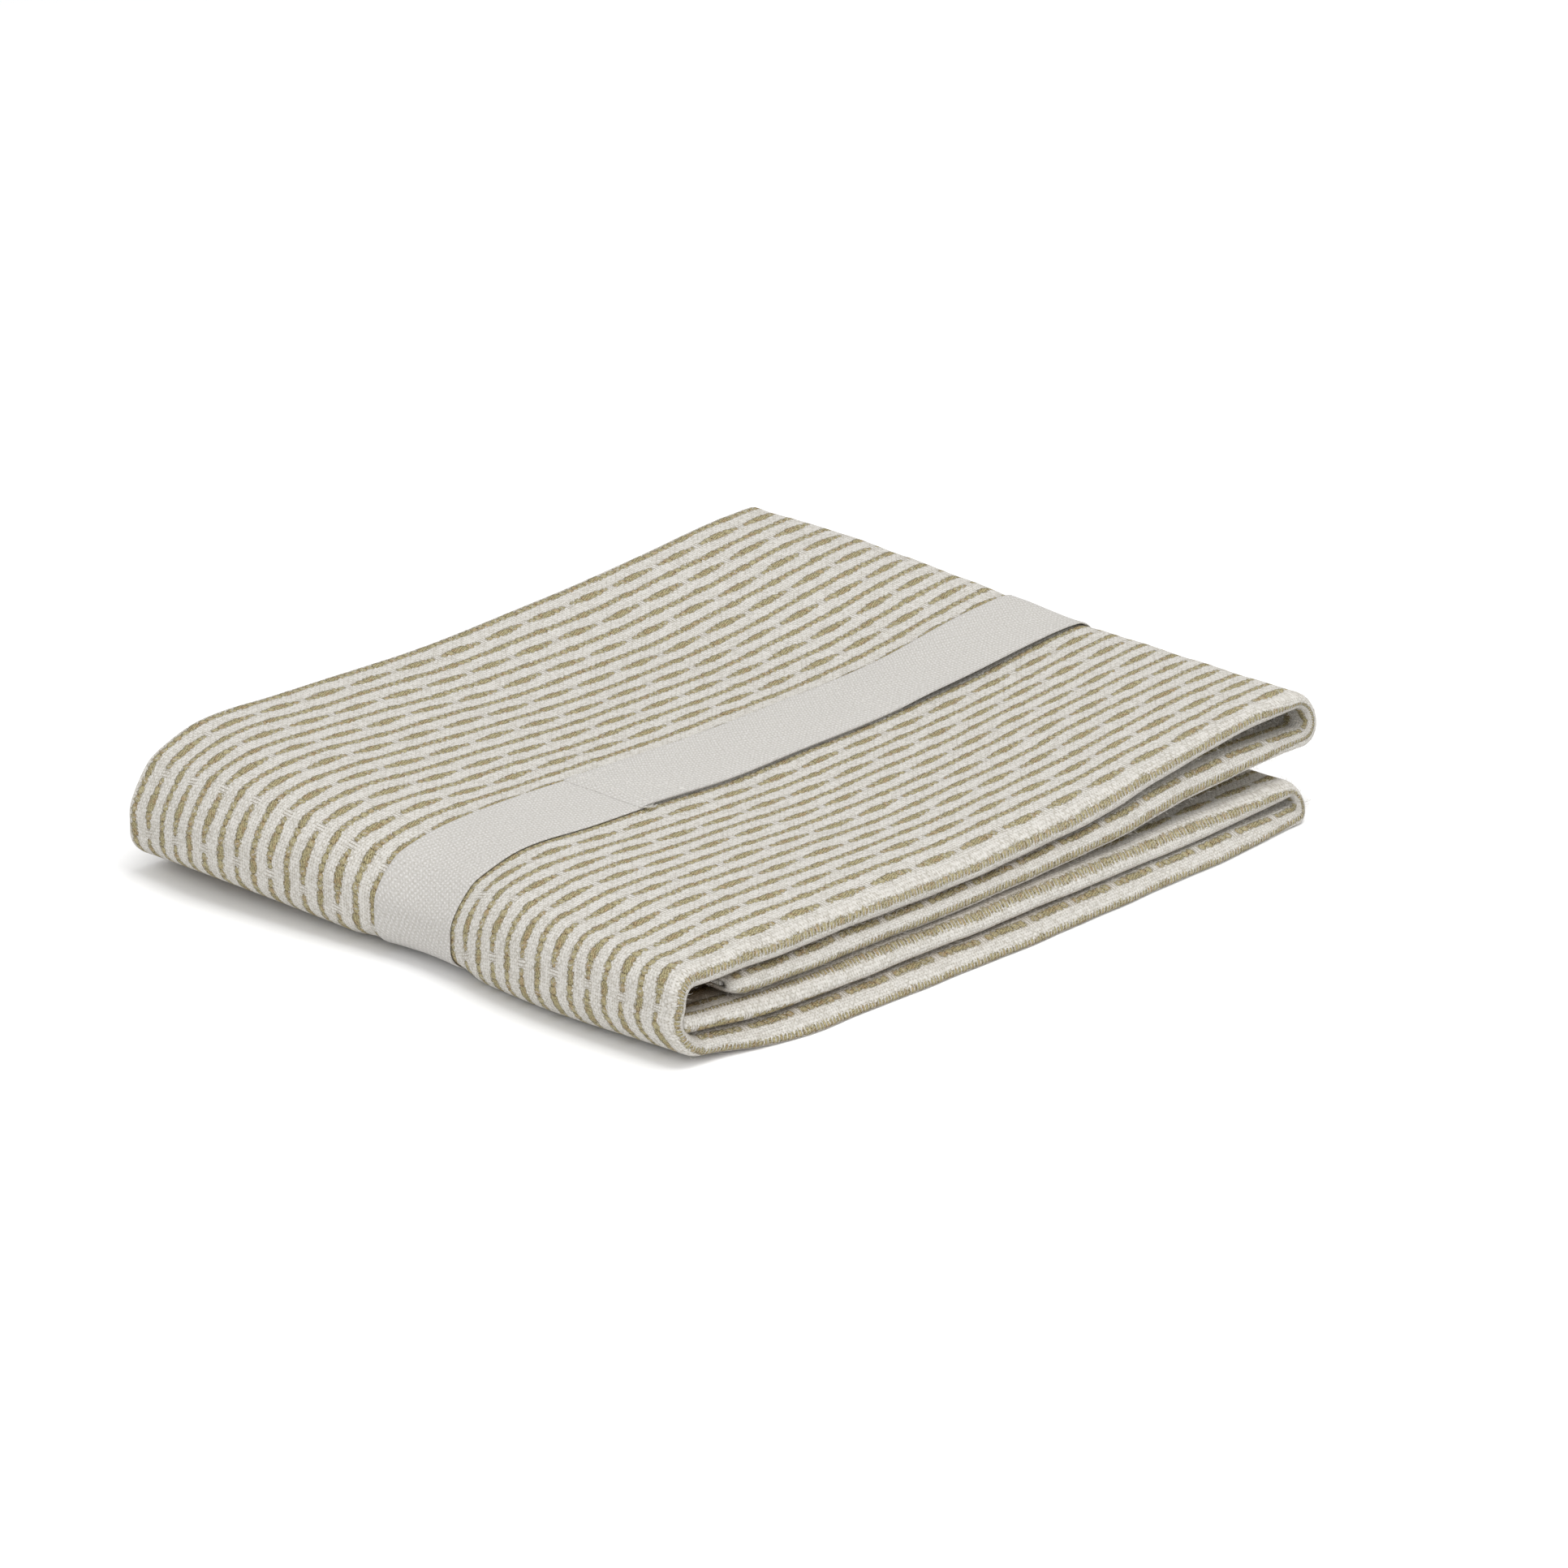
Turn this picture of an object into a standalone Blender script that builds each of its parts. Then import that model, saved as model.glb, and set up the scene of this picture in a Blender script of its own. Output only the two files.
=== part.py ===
"""A woven tea towel, folded into a flat packet and held by a band of cotton webbing.

Metres, +Z up. The packet lies on z = 0 with its origin in the middle of its footprint. +X runs
along the cloth's stripes, from the big round fold to the two open loops, and +Y runs from the
front edges to the back ones.

The towel is folded lengthwise in three to a strip of three plies, and the strip is laid in four
layers. Both are worked out as plain curves: the strip's section across its width, and the path of
its middle line along its length. The settle function then gives the packet its uneven height and
outline, for the cloth and for its band alike, so that no two layers can meet.
"""

import math

import bmesh
import bpy
import numpy as np

MM = 0.001

# The cloth and the strip that it is folded to
CLOTH_THICKNESS = 1.4 * MM
PLY_PITCH = 1.75 * MM               # from the middle of one ply to the next
FRONT_FOLD_Y = 2.4 * MM             # centre of the strip's front fold
STRIP_DEPTH = 170.0 * MM            # from there to the centre of its back fold
INNER_FLAP_GAP = 1.2 * MM           # the inner flap's edge stops short of the front fold
OUTER_FLAP_GAP = 2.0 * MM           # the outer flap's edge stops short of the back fold
STRIP_HALF = PLY_PITCH + CLOTH_THICKNESS / 2

# The path of the strip's middle line
UPPER_HEM_X = 7.6 * MM              # where the hems lie, inside the big fold
LOWER_HEM_X = -2.2 * MM
BIG_FOLD_X = -1.4 * MM              # centres of the big fold's two bends
BIG_FOLD_BEND = 5.6 * MM
UPPER_LOOP_X = 204.9 * MM           # centres of the two loops at the other end
LOWER_LOOP_X = 196.5 * MM

# The middle line's height in each layer along x (mm), and the share of its thickness that the strip
# is drawn out or swollen to in each of them
SECTION_COLUMNS = ("x", "lower", "upper", "top", "lower_draw", "upper_draw", "top_draw")
SECTION = (
    (-2.0, 8.05, 13.60, 19.15, 1.00, 1.00, 1.00),
    (100.0, 8.05, 13.60, 19.15, 1.00, 1.00, 1.00),
    (137.0, 8.00, 15.10, 21.10, 1.00, 1.06, 0.98),
    (170.0, 7.60, 17.20, 24.40, 0.94, 1.15, 0.80),
    (205.0, 7.70, 17.40, 26.20, 0.76, 0.86, 0.78),
)

# Height of the packet's top (mm) at stations along x and, in the columns, from front to back
HEIGHT_COLUMNS = ("x", "front", "near_front", "quarter", "before_band", "band_front", "band_back",
                  "after_band", "three_quarter", "back")
HEIGHT_COLUMN_Y = (0.0, 9.0, 35.0, 62.0, 73.0, 95.0, 108.0, 140.0, 172.0)
HEIGHTS = (
    (-11.0, 23.0, 23.0, 22.5, 19.5, 13.5, 18.5, 21.5, 22.0, 20.5),
    (0.0, 21.2, 21.8, 22.7, 22.2, 17.5, 22.0, 24.8, 27.5, 27.5),
    (15.0, 21.2, 22.4, 24.0, 24.3, 21.1, 24.3, 26.0, 29.3, 31.3),
    (45.0, 20.7, 22.4, 23.3, 23.8, 22.7, 23.7, 24.5, 28.0, 31.0),
    (90.0, 20.3, 21.9, 21.7, 22.1, 20.9, 21.8, 23.0, 25.5, 30.1),
    (135.0, 23.0, 23.7, 23.1, 22.8, 21.5, 21.9, 22.9, 25.8, 31.8),
    (164.0, 26.1, 26.1, 25.6, 24.1, 22.6, 23.0, 24.5, 28.5, 33.6),
    (189.0, 28.2, 28.1, 27.4, 26.5, 25.6, 27.2, 28.5, 32.4, 36.0),
    (205.0, 28.4, 28.2, 27.7, 27.5, 27.3, 29.2, 30.4, 33.4, 36.4),
)

# How far the two ends of the packet are pushed along +X, from front to back, and how high the big
# fold's underside stands off the surface (mm)
OUTLINE_COLUMNS = ("y", "big_fold", "loops", "fold_lift")
OUTLINE = (
    (0.0, 0.1, 1.7, 1.8),
    (38.0, 0.3, 4.9, 1.0),
    (60.0, 3.0, 6.8, 0.4),
    (71.0, 5.4, 7.3, 0.0),
    (84.0, 6.7, 7.5, 0.0),
    (97.0, 5.8, 7.8, 0.0),
    (106.0, 4.9, 8.0, 1.5),
    (128.0, 3.6, 7.4, 3.2),
    (150.0, 2.8, 6.2, 4.4),
    (172.0, 5.0, 2.7, 3.4),
)
BIG_FOLD_PUSH_REACH = 42.0 * MM
LOOP_PUSH_START_X = 150.0 * MM
LOOP_PUSH_FULL_X = 200.0 * MM
FOLD_LIFT_REACH = 22.0 * MM

# How far the front has slipped forward (mm), at stations along x and, in the columns, from the
# underside to the top
SLIP_COLUMNS = ("x", "underside", "bottom", "lower", "upper", "top")
SLIP_LEVELS = (0.0, 0.125, 0.38, 0.615, 1.0)
SLIPS = (
    (-4.0, -2.0, -2.0, 0.0, -0.6, 0.0),
    (12.0, -6.8, -4.6, -2.2, -1.2, 0.0),
    (26.0, -9.8, -6.6, -3.4, -1.6, 0.0),
    (45.0, -10.4, -7.4, -3.9, -1.5, 0.0),
    (100.0, -11.9, -9.2, -4.8, -2.4, 0.0),
    (137.0, -11.4, -9.2, -5.0, -3.3, 0.0),
    (170.0, -11.0, -8.4, -3.8, -2.4, 0.0),
    (205.0, -8.4, -6.6, -3.6, -2.4, 0.0),
)
SLIP_REACH = 60.0 * MM              # how far back the slip goes

# The webbing band
BAND_Y = 84.0 * MM
BAND_WIDTH = 25.0 * MM
BAND_THICKNESS = 1.2 * MM
BAND_GAP = 0.52 * MM                # clearance to the cloth and between the band's two ends
BAND_UNDER_END_X = 148.5 * MM       # where the end that lies underneath stops
BAND_OVER_END_X = 57.5 * MM         # where the end that lies on top stops
BAND_BRIDGE = 0.8 * MM              # how high it stands off the cloth before the loops
BAND_TROUGH = BAND_THICKNESS + BAND_GAP
BAND_TROUGH_FLAT = 13.0 * MM        # half width of the trough's flat part, and of all of it
BAND_TROUGH_EDGE = 22.0 * MM
BAND_CHANNEL = 2 * BAND_TROUGH_EDGE

# The middle of the packet's footprint in the coordinates used above
FOOTPRINT_MIDDLE_X = 105.72 * MM
FOOTPRINT_MIDDLE_Y = 81.77 * MM

# Steps of the meshes
LAYER_STEPS = 12
LOOP_STEPS = 8
BEND_STEPS = 5
BACK_FOLD_STEPS = 4
FRONT_FOLD_STEPS = 5
BAND_STEPS_ACROSS = 3
BAND_LEAVES_LOOP = 3                # the step of a loop at which the band leaves it
PLY_STEPS_BESIDE_BAND = 3
CREASE_ANGLE_DEG = 50.0             # edges that turn more than this are shown sharp

# Mean linear colours and roughness of the two cloths
TOWEL_COLOR = (0.60, 0.55, 0.45)
TOWEL_ROUGHNESS = 0.9
WEBBING_COLOR = (0.68, 0.66, 0.63)
WEBBING_ROUGHNESS = 0.85


def smooth_step(value, start, end):
    """Ease from 0 at start to 1 at end."""
    share = np.clip((np.asarray(value, float) - start) / (end - start), 0.0, 1.0)
    return share * share * (3.0 - 2.0 * share)


def smooth_curve(value, stations, heights, level_ends=True):
    """A curve without corners through the stations, constant beyond them."""
    stations = np.asarray(stations, float)
    heights = np.asarray(heights, float)
    slopes = np.zeros(heights.shape)
    if not level_ends:
        slopes[0] = (heights[1] - heights[0]) / (stations[1] - stations[0])
        slopes[-1] = (heights[-1] - heights[-2]) / (stations[-1] - stations[-2])
    run = (stations[2:] - stations[:-2]).reshape((-1,) + (1,) * (heights.ndim - 1))
    slopes[1:-1] = (heights[2:] - heights[:-2]) / run
    value = np.clip(np.asarray(value, float), stations[0], stations[-1])
    left = np.clip(np.searchsorted(stations, value, side="right") - 1, 0, len(stations) - 2)
    width = stations[left + 1] - stations[left]
    share = (value - stations[left]) / width
    if heights.ndim > 1:
        share = share[..., None]
        width = width[..., None]
    rise = heights[left + 1] - heights[left]
    return (heights[left] + share * share * (3 - 2 * share) * rise
            + share * (share - 1) ** 2 * width * slopes[left]
            + share * share * (share - 1) * width * slopes[left + 1])


def table_column(table, columns, name):
    """One named column of a table, in metres."""
    return [row[columns.index(name)] * MM for row in table]


def layer_height(name, x):
    """Height of the strip's middle line in one layer."""
    if name == "bottom":
        return STRIP_HALF * layer_draw(name, x)
    return smooth_curve(x, table_column(SECTION, SECTION_COLUMNS, "x"),
                        table_column(SECTION, SECTION_COLUMNS, name))


def layer_draw(name, x):
    """The strip's thickness in one layer, as a share of its full thickness."""
    column = SECTION_COLUMNS.index("lower_draw" if name == "bottom" else name + "_draw")
    return smooth_curve(x, table_column(SECTION, SECTION_COLUMNS, "x"),
                        [row[column] for row in SECTION])


def section_top(x):
    """Height of the top of the folded strip, before the packet settles."""
    return layer_height("top", x) + STRIP_HALF * layer_draw("top", x)


def table_value(table, x, column_stations, place):
    """Value of a table in mm at x along its rows and at a place along its columns."""
    rows = np.array([[value * MM for value in row[1:]] for row in table])
    across = smooth_curve(x, [row[0] * MM for row in table], rows)
    pairs = zip(place, across)
    return np.array([float(smooth_curve(at, column_stations, row, False)) for at, row in pairs])


def settle(points):
    """Give the evenly folded packet its real height and outline, its front slipped forward."""
    x, y, z = points[:, 0], points[:, 1], points[:, 2]
    top = section_top(x)
    level = np.clip(z / top, 0.0, 1.0)
    y = y + table_value(SLIPS, x, SLIP_LEVELS, level) * (1.0 - smooth_step(y, 0.0, SLIP_REACH))
    trough = BAND_TROUGH * (1.0 - smooth_step(np.abs(y - BAND_Y), BAND_TROUGH_FLAT, BAND_TROUGH_EDGE))
    outline_y = table_column(OUTLINE, OUTLINE_COLUMNS, "y")
    fold_lift = smooth_curve(y, outline_y, table_column(OUTLINE, OUTLINE_COLUMNS, "fold_lift"))
    lifted = 1.0 - smooth_step(x, -FOLD_LIFT_REACH / 2, FOLD_LIFT_REACH)
    underside = trough + np.maximum(fold_lift, 0.0) * lifted
    height = table_value(HEIGHTS, x, [station * MM for station in HEIGHT_COLUMN_Y], y)
    inside = level * (height - underside)
    new_z = underside + inside + np.minimum(z, 0.0) + np.maximum(z - top, 0.0)

    fold_push = smooth_curve(y, outline_y, table_column(OUTLINE, OUTLINE_COLUMNS, "big_fold"))
    loop_push = smooth_curve(y, outline_y, table_column(OUTLINE, OUTLINE_COLUMNS, "loops"))
    new_x = (x + fold_push * (1.0 - smooth_step(x, 0.0, BIG_FOLD_PUSH_REACH))
             + loop_push * smooth_step(x, LOOP_PUSH_START_X, LOOP_PUSH_FULL_X))

    return np.column_stack((new_x - FOOTPRINT_MIDDLE_X, y - FOOTPRINT_MIDDLE_Y, new_z))


def layer_run(name, start_x, end_x, steps):
    """Points of the middle line along one layer, as rows of x, z and draw."""
    x = np.linspace(start_x, end_x, steps + 1)
    return np.column_stack((x, layer_height(name, x), layer_draw(name, x)))


def bend(centre_x, centre_z, radius, start_deg, end_deg, steps):
    """Points of a round bend, as rows of x and z."""
    angles = np.radians(np.linspace(start_deg, end_deg, steps + 1))
    return np.column_stack((centre_x + radius * np.cos(angles), centre_z + radius * np.sin(angles)))


def loop(centre_x, low_name, high_name):
    """The half turn that joins two layers at the open end."""
    low = float(layer_height(low_name, centre_x))
    high = float(layer_height(high_name, centre_x))
    turn = bend(centre_x, (low + high) / 2, (high - low) / 2, -90, 90, LOOP_STEPS)
    return with_draw(turn, layer_draw(low_name, centre_x), layer_draw(high_name, centre_x))


def with_draw(turn, start, end):
    """A turn with its draw, eased from one end to the other."""
    share = smooth_step(np.linspace(0.0, 1.0, len(turn)), 0.0, 1.0)
    return np.column_stack((turn, start + (end - start) * share))


def big_fold():
    """The big round fold that joins the top and bottom layers."""
    top = float(layer_height("top", BIG_FOLD_X)) - BIG_FOLD_BEND
    bottom = float(layer_height("bottom", BIG_FOLD_X)) + BIG_FOLD_BEND
    turn = np.vstack((bend(BIG_FOLD_X, top, BIG_FOLD_BEND, 90, 180, BEND_STEPS),
                      bend(BIG_FOLD_X, bottom, BIG_FOLD_BEND, 180, 270, BEND_STEPS)))
    return with_draw(turn, layer_draw("top", BIG_FOLD_X), layer_draw("bottom", BIG_FOLD_X))


def join_runs(runs):
    """One line from several runs, without the points that they share."""
    line = [runs[0]]
    for run in runs[1:]:
        line.append(run[1:])
    return np.vstack(line)


def outward_normals(line):
    """Unit normals of a line in two coordinates, to the right of its direction."""
    along = np.gradient(line[:, :2], axis=0)
    along /= np.linalg.norm(along, axis=1)[:, None]
    return np.column_stack((along[:, 1], -along[:, 0]))


def strip_path():
    """The strip's middle line from one hem to the other."""
    return join_runs((
        layer_run("upper", UPPER_HEM_X, UPPER_LOOP_X, LAYER_STEPS),
        loop(UPPER_LOOP_X, "upper", "top"),
        layer_run("top", UPPER_LOOP_X, BIG_FOLD_X, LAYER_STEPS),
        big_fold(),
        layer_run("bottom", BIG_FOLD_X, LOWER_LOOP_X, LAYER_STEPS),
        loop(LOWER_LOOP_X, "bottom", "lower"),
        layer_run("lower", LOWER_LOOP_X, LOWER_HEM_X, LAYER_STEPS),
    ))


def band_stations():
    """The band's places across its width."""
    return np.linspace(BAND_Y - BAND_WIDTH / 2, BAND_Y + BAND_WIDTH / 2, BAND_STEPS_ACROSS + 1)


def ply_stations():
    """Places along y that all plies share, with those of the band among them."""
    across = band_stations()
    front_y = FRONT_FOLD_Y
    back_y = FRONT_FOLD_Y + STRIP_DEPTH
    before = np.linspace(front_y, BAND_Y - BAND_CHANNEL / 2, PLY_STEPS_BESIDE_BAND)
    after = np.linspace(BAND_Y + BAND_CHANNEL / 2, back_y, PLY_STEPS_BESIDE_BAND)
    return np.concatenate((before, across, after))


def strip_section():
    """The three plies across the strip, as rows of y and distance from the strip's middle."""
    plies = ply_stations()
    back_y = plies[-1]
    inner_y = np.concatenate(((plies[0] + INNER_FLAP_GAP,), plies[1:]))
    outer_y = np.concatenate((plies[:-1], (back_y - OUTER_FLAP_GAP,)))
    inner = np.column_stack((inner_y, np.zeros(len(plies))))
    back_fold = bend(back_y, PLY_PITCH / 2, PLY_PITCH / 2, -90, 90, BACK_FOLD_STEPS)
    middle = np.column_stack((plies[::-1], np.full(len(plies), PLY_PITCH)))
    front_fold = bend(FRONT_FOLD_Y, 0.0, PLY_PITCH, 90, 270, FRONT_FOLD_STEPS)
    outer = np.column_stack((outer_y, np.full(len(plies), -PLY_PITCH)))
    return join_runs((inner, back_fold, middle, front_fold, outer))


def sheet_mesh(name, face_grid, back_grid):
    """A closed sheet between two grids of points with the same rows and columns."""
    rows, columns = face_grid.shape[:2]
    mesh = bmesh.new()
    face = [[mesh.verts.new(face_grid[i, j]) for j in range(columns)] for i in range(rows)]
    back = [[mesh.verts.new(back_grid[i, j]) for j in range(columns)] for i in range(rows)]
    for i in range(rows - 1):
        for j in range(columns - 1):
            mesh.faces.new((face[i][j], face[i + 1][j], face[i + 1][j + 1], face[i][j + 1]))
            mesh.faces.new((back[i][j], back[i][j + 1], back[i + 1][j + 1], back[i + 1][j]))
    for i in range(rows - 1):
        mesh.faces.new((face[i][0], back[i][0], back[i + 1][0], face[i + 1][0]))
        mesh.faces.new((face[i][-1], face[i + 1][-1], back[i + 1][-1], back[i][-1]))
    for j in range(columns - 1):
        mesh.faces.new((face[0][j], face[0][j + 1], back[0][j + 1], back[0][j]))
        mesh.faces.new((face[-1][j], back[-1][j], back[-1][j + 1], face[-1][j + 1]))
    bmesh.ops.recalc_face_normals(mesh, faces=mesh.faces)
    data = bpy.data.meshes.new(name)
    mesh.to_mesh(data)
    mesh.free()
    data.shade_smooth()
    data.set_sharp_from_angle(angle=math.radians(CREASE_ANGLE_DEG))
    sheet = bpy.data.objects.new(name, data)
    bpy.context.scene.collection.objects.link(sheet)
    return sheet


def towel_grid(side):
    """Settled points of one face of the cloth: side is 1 for its right face and -1 for the other."""
    path = strip_path()
    normals = outward_normals(path)
    section = strip_section()
    section = section + side * CLOTH_THICKNESS / 2 * outward_normals(section)
    reach = path[:, 2:] * section[None, :, 1]
    x = path[:, None, 0] + reach * normals[:, None, 0]
    z = path[:, None, 1] + reach * normals[:, None, 1]
    z = np.maximum(z, 0.0)
    y = np.broadcast_to(section[None, :, 0], x.shape)
    points = np.column_stack((x.ravel(), y.ravel(), z.ravel()))
    return settle(points).reshape(x.shape + (3,))


def build_towel():
    """The whole cloth, hems included, as one folded sheet."""
    towel = sheet_mesh("towel", towel_grid(1), towel_grid(-1))
    towel.data.materials.append(plain_material("striped_cotton", TOWEL_COLOR, TOWEL_ROUGHNESS))
    return towel


def band_line():
    """The band's middle line, from its end under the overlap round to its end on top."""
    path = strip_path()
    reach = STRIP_HALF * path[:, 2] + BAND_GAP + BAND_THICKNESS / 2
    line = path[:, :2] + reach[:, None] * outward_normals(path)
    loop_top = LAYER_STEPS + LOOP_STEPS
    loop_side = LAYER_STEPS + BAND_LEAVES_LOOP
    top_end = loop_top + LAYER_STEPS
    lower_side = len(path) - 1 - LAYER_STEPS - LOOP_STEPS + BAND_LEAVES_LOOP

    over = line[loop_side:top_end + 1].copy()
    share = np.clip((over[:, 0] - BAND_UNDER_END_X) / (UPPER_LOOP_X - BAND_UNDER_END_X), 0.0, 1.0)
    second = (BAND_THICKNESS + BAND_GAP) * (1.0 - smooth_step(share, 0.0, 1.0))
    over[:, 1] += second + BAND_BRIDGE * 4 * share * (1 - share)
    over = cut_run(over, BAND_OVER_END_X)
    under = cut_run(line[loop_top:top_end + 1][::-1], BAND_UNDER_END_X)[::-1]
    return np.vstack((under, line[top_end + 1:lower_side + 1], over))


def cut_run(run, end_x):
    """The part of a run before it reaches end_x, with a last point there."""
    rising = run[-1, 0] > run[0, 0]
    kept = run[run[:, 0] < end_x] if rising else run[run[:, 0] > end_x]
    order = 1 if rising else -1
    height = np.interp(end_x, run[::order, 0], run[::order, 1])
    return np.vstack((kept, (end_x, height)))


def band_grid(side):
    """Settled points of one face of the band."""
    line = band_line()
    line = line + side * BAND_THICKNESS / 2 * outward_normals(line)
    across = band_stations()
    x = np.repeat(line[:, :1], len(across), axis=1)
    z = np.repeat(line[:, 1:], len(across), axis=1)
    y = np.broadcast_to(across[None, :], x.shape)
    points = np.column_stack((x.ravel(), y.ravel(), z.ravel()))
    return settle(points).reshape(x.shape + (3,))


def build_band():
    """The webbing round the packet, its two ends overlapping on the top."""
    band = sheet_mesh("band", band_grid(1), band_grid(-1))
    band.data.materials.append(plain_material("cotton_webbing", WEBBING_COLOR, WEBBING_ROUGHNESS))
    return band


def plain_material(name, color, roughness):
    """A cloth material in one linear colour."""
    material = bpy.data.materials.new(name)
    material.use_nodes = True
    shader = material.node_tree.nodes["Principled BSDF"]
    shader.inputs["Base Color"].default_value = (*color, 1.0)
    shader.inputs["Roughness"].default_value = roughness
    shader.inputs["Metallic"].default_value = 0.0
    return material


for item in list(bpy.data.objects):
    bpy.data.objects.remove(item, do_unlink=True)

build_towel()
build_band()
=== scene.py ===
"""A striped tea towel folded to a packet, with its webbing band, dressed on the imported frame.

Metres, +Z up, in the frame of the solids. The cloth is woven in white cotton with rows of coarse
khaki yarn: lines and dashes in turn. It is folded lengthwise in three plies to a strip, and the
strip lies in four layers. Both are plain curves here, as in the solids, with finer steps: the
strip's section across its width and the path of its middle line along its length. Each vertex
keeps its place in the flat cloth, in millimetres, as its UV, and the weave is drawn from that.
"""

import logging
import math
from dataclasses import dataclass, field
from enum import Enum
from functools import partial
from typing import Any, Optional, Sequence

import bmesh
import bpy
import numpy as np
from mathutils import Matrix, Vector


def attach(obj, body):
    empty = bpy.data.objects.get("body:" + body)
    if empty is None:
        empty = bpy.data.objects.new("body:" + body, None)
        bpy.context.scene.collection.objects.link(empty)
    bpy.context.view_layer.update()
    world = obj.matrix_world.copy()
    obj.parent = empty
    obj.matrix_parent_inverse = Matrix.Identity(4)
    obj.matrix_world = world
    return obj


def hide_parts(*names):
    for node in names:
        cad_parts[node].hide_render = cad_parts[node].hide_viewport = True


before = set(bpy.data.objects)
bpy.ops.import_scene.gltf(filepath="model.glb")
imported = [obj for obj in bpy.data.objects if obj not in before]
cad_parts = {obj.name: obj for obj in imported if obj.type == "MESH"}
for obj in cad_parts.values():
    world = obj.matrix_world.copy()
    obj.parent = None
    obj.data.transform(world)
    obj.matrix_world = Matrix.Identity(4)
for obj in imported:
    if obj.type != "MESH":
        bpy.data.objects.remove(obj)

MM = 0.001
log = logging.getLogger("tea_towel")


class Layer(Enum):
    """The four layers of the folded strip, by their place from the surface up."""

    BOTTOM = "bottom"
    LOWER = "lower"
    UPPER = "upper"
    TOP = "top"


class Face(Enum):
    """The two faces of a cloth, by the sign of their offset from its middle."""

    RIGHT = 1
    WRONG = -1


# ---------------------------------------------------------------- curves and tables

def smooth_step(value: Any, start: float, end: float) -> np.ndarray:
    """Ease from 0 at start to 1 at end.

    Args:
        value: The number or array to ease.
        start: Where the ease begins.
        end: Where it is complete.

    Returns:
        An array of shares from 0 to 1.
    """
    share = np.clip((np.asarray(value, float) - start) / (end - start), 0.0, 1.0)
    return share * share * (3.0 - 2.0 * share)


def smooth_curve(value: Any, stations: Sequence[float], heights: Any,
                 level_ends: bool = True) -> np.ndarray:
    """Follow a curve without corners through the stations, constant beyond them.

    Args:
        value: Where to read the curve, as a number or an array.
        stations: Rising places where the curve is given.
        heights: Its height at each station, or one such row for each value.
        level_ends: Whether the curve ends level, or with the slope of its last stretch.

    Returns:
        The curve's height at each value.
    """
    stations = np.asarray(stations, float)
    heights = np.asarray(heights, float)
    slopes = np.zeros(heights.shape)
    slopes[..., 1:-1] = (heights[..., 2:] - heights[..., :-2]) / (stations[2:] - stations[:-2])
    if not level_ends:
        slopes[..., 0] = (heights[..., 1] - heights[..., 0]) / (stations[1] - stations[0])
        slopes[..., -1] = (heights[..., -1] - heights[..., -2]) / (stations[-1] - stations[-2])
    value = np.clip(np.asarray(value, float), stations[0], stations[-1])
    left = np.clip(np.searchsorted(stations, value, side="right") - 1, 0, len(stations) - 2)
    width = stations[left + 1] - stations[left]
    share = (value - stations[left]) / width
    own = (np.arange(len(left)), ) if heights.ndim > 1 else ()
    low, high = heights[own + (left, )], heights[own + (left + 1, )]
    return (low + share * share * (3.0 - 2.0 * share) * (high - low)
            + share * (share - 1.0) ** 2 * width * slopes[own + (left, )]
            + share * share * (share - 1.0) * width * slopes[own + (left + 1, )])


def outward_normals(line: np.ndarray) -> np.ndarray:
    """Unit normals of a line in two coordinates, to the right of its direction."""
    along = np.gradient(line[:, :2], axis=0)
    along /= np.linalg.norm(along, axis=1)[:, None]
    return np.column_stack((along[:, 1], -along[:, 0]))


def join_runs(runs: Sequence[np.ndarray]) -> np.ndarray:
    """Put several runs of points in one line, without the points that they share."""
    return np.vstack([runs[0]] + [run[1:] for run in runs[1:]])


def travelled(points: np.ndarray) -> np.ndarray:
    """Length of the way from the first row of points to each row, for each column of a grid."""
    steps = np.linalg.norm(np.diff(points, axis=0), axis=-1)
    return np.concatenate((np.zeros((1, ) + steps.shape[1:]), np.cumsum(steps, axis=0)))


def bend(centre: Sequence[float], radius: float, start_deg: float, end_deg: float,
         steps: int) -> np.ndarray:
    """Lay out the points of a round bend.

    Args:
        centre: The bend's centre in two coordinates.
        radius: Its radius.
        start_deg: The angle of its first point.
        end_deg: The angle of its last point.
        steps: The number of steps between them.

    Returns:
        One row of two coordinates for each point.
    """
    angles = np.radians(np.linspace(start_deg, end_deg, steps + 1))
    return np.column_stack((centre[0] + radius * np.cos(angles), centre[1] + radius * np.sin(angles)))


@dataclass(frozen=True)
class Table:
    """Values in millimetres: x first in each row, then a column for each of the places across."""

    places: tuple
    rows: tuple

    def value(self, x: np.ndarray, place: np.ndarray) -> np.ndarray:
        """Read the table.

        Args:
            x: Where along its rows, in metres.
            place: Where along its columns, in the unit of places.

        Returns:
            The value in metres at each pair.
        """
        rows = np.array(self.rows) * MM
        across = np.column_stack([smooth_curve(x, rows[:, 0], column) for column in rows[:, 1:].T])
        return smooth_curve(place, self.places, across, level_ends=False)


# ---------------------------------------------------------------- the folded shape

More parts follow.
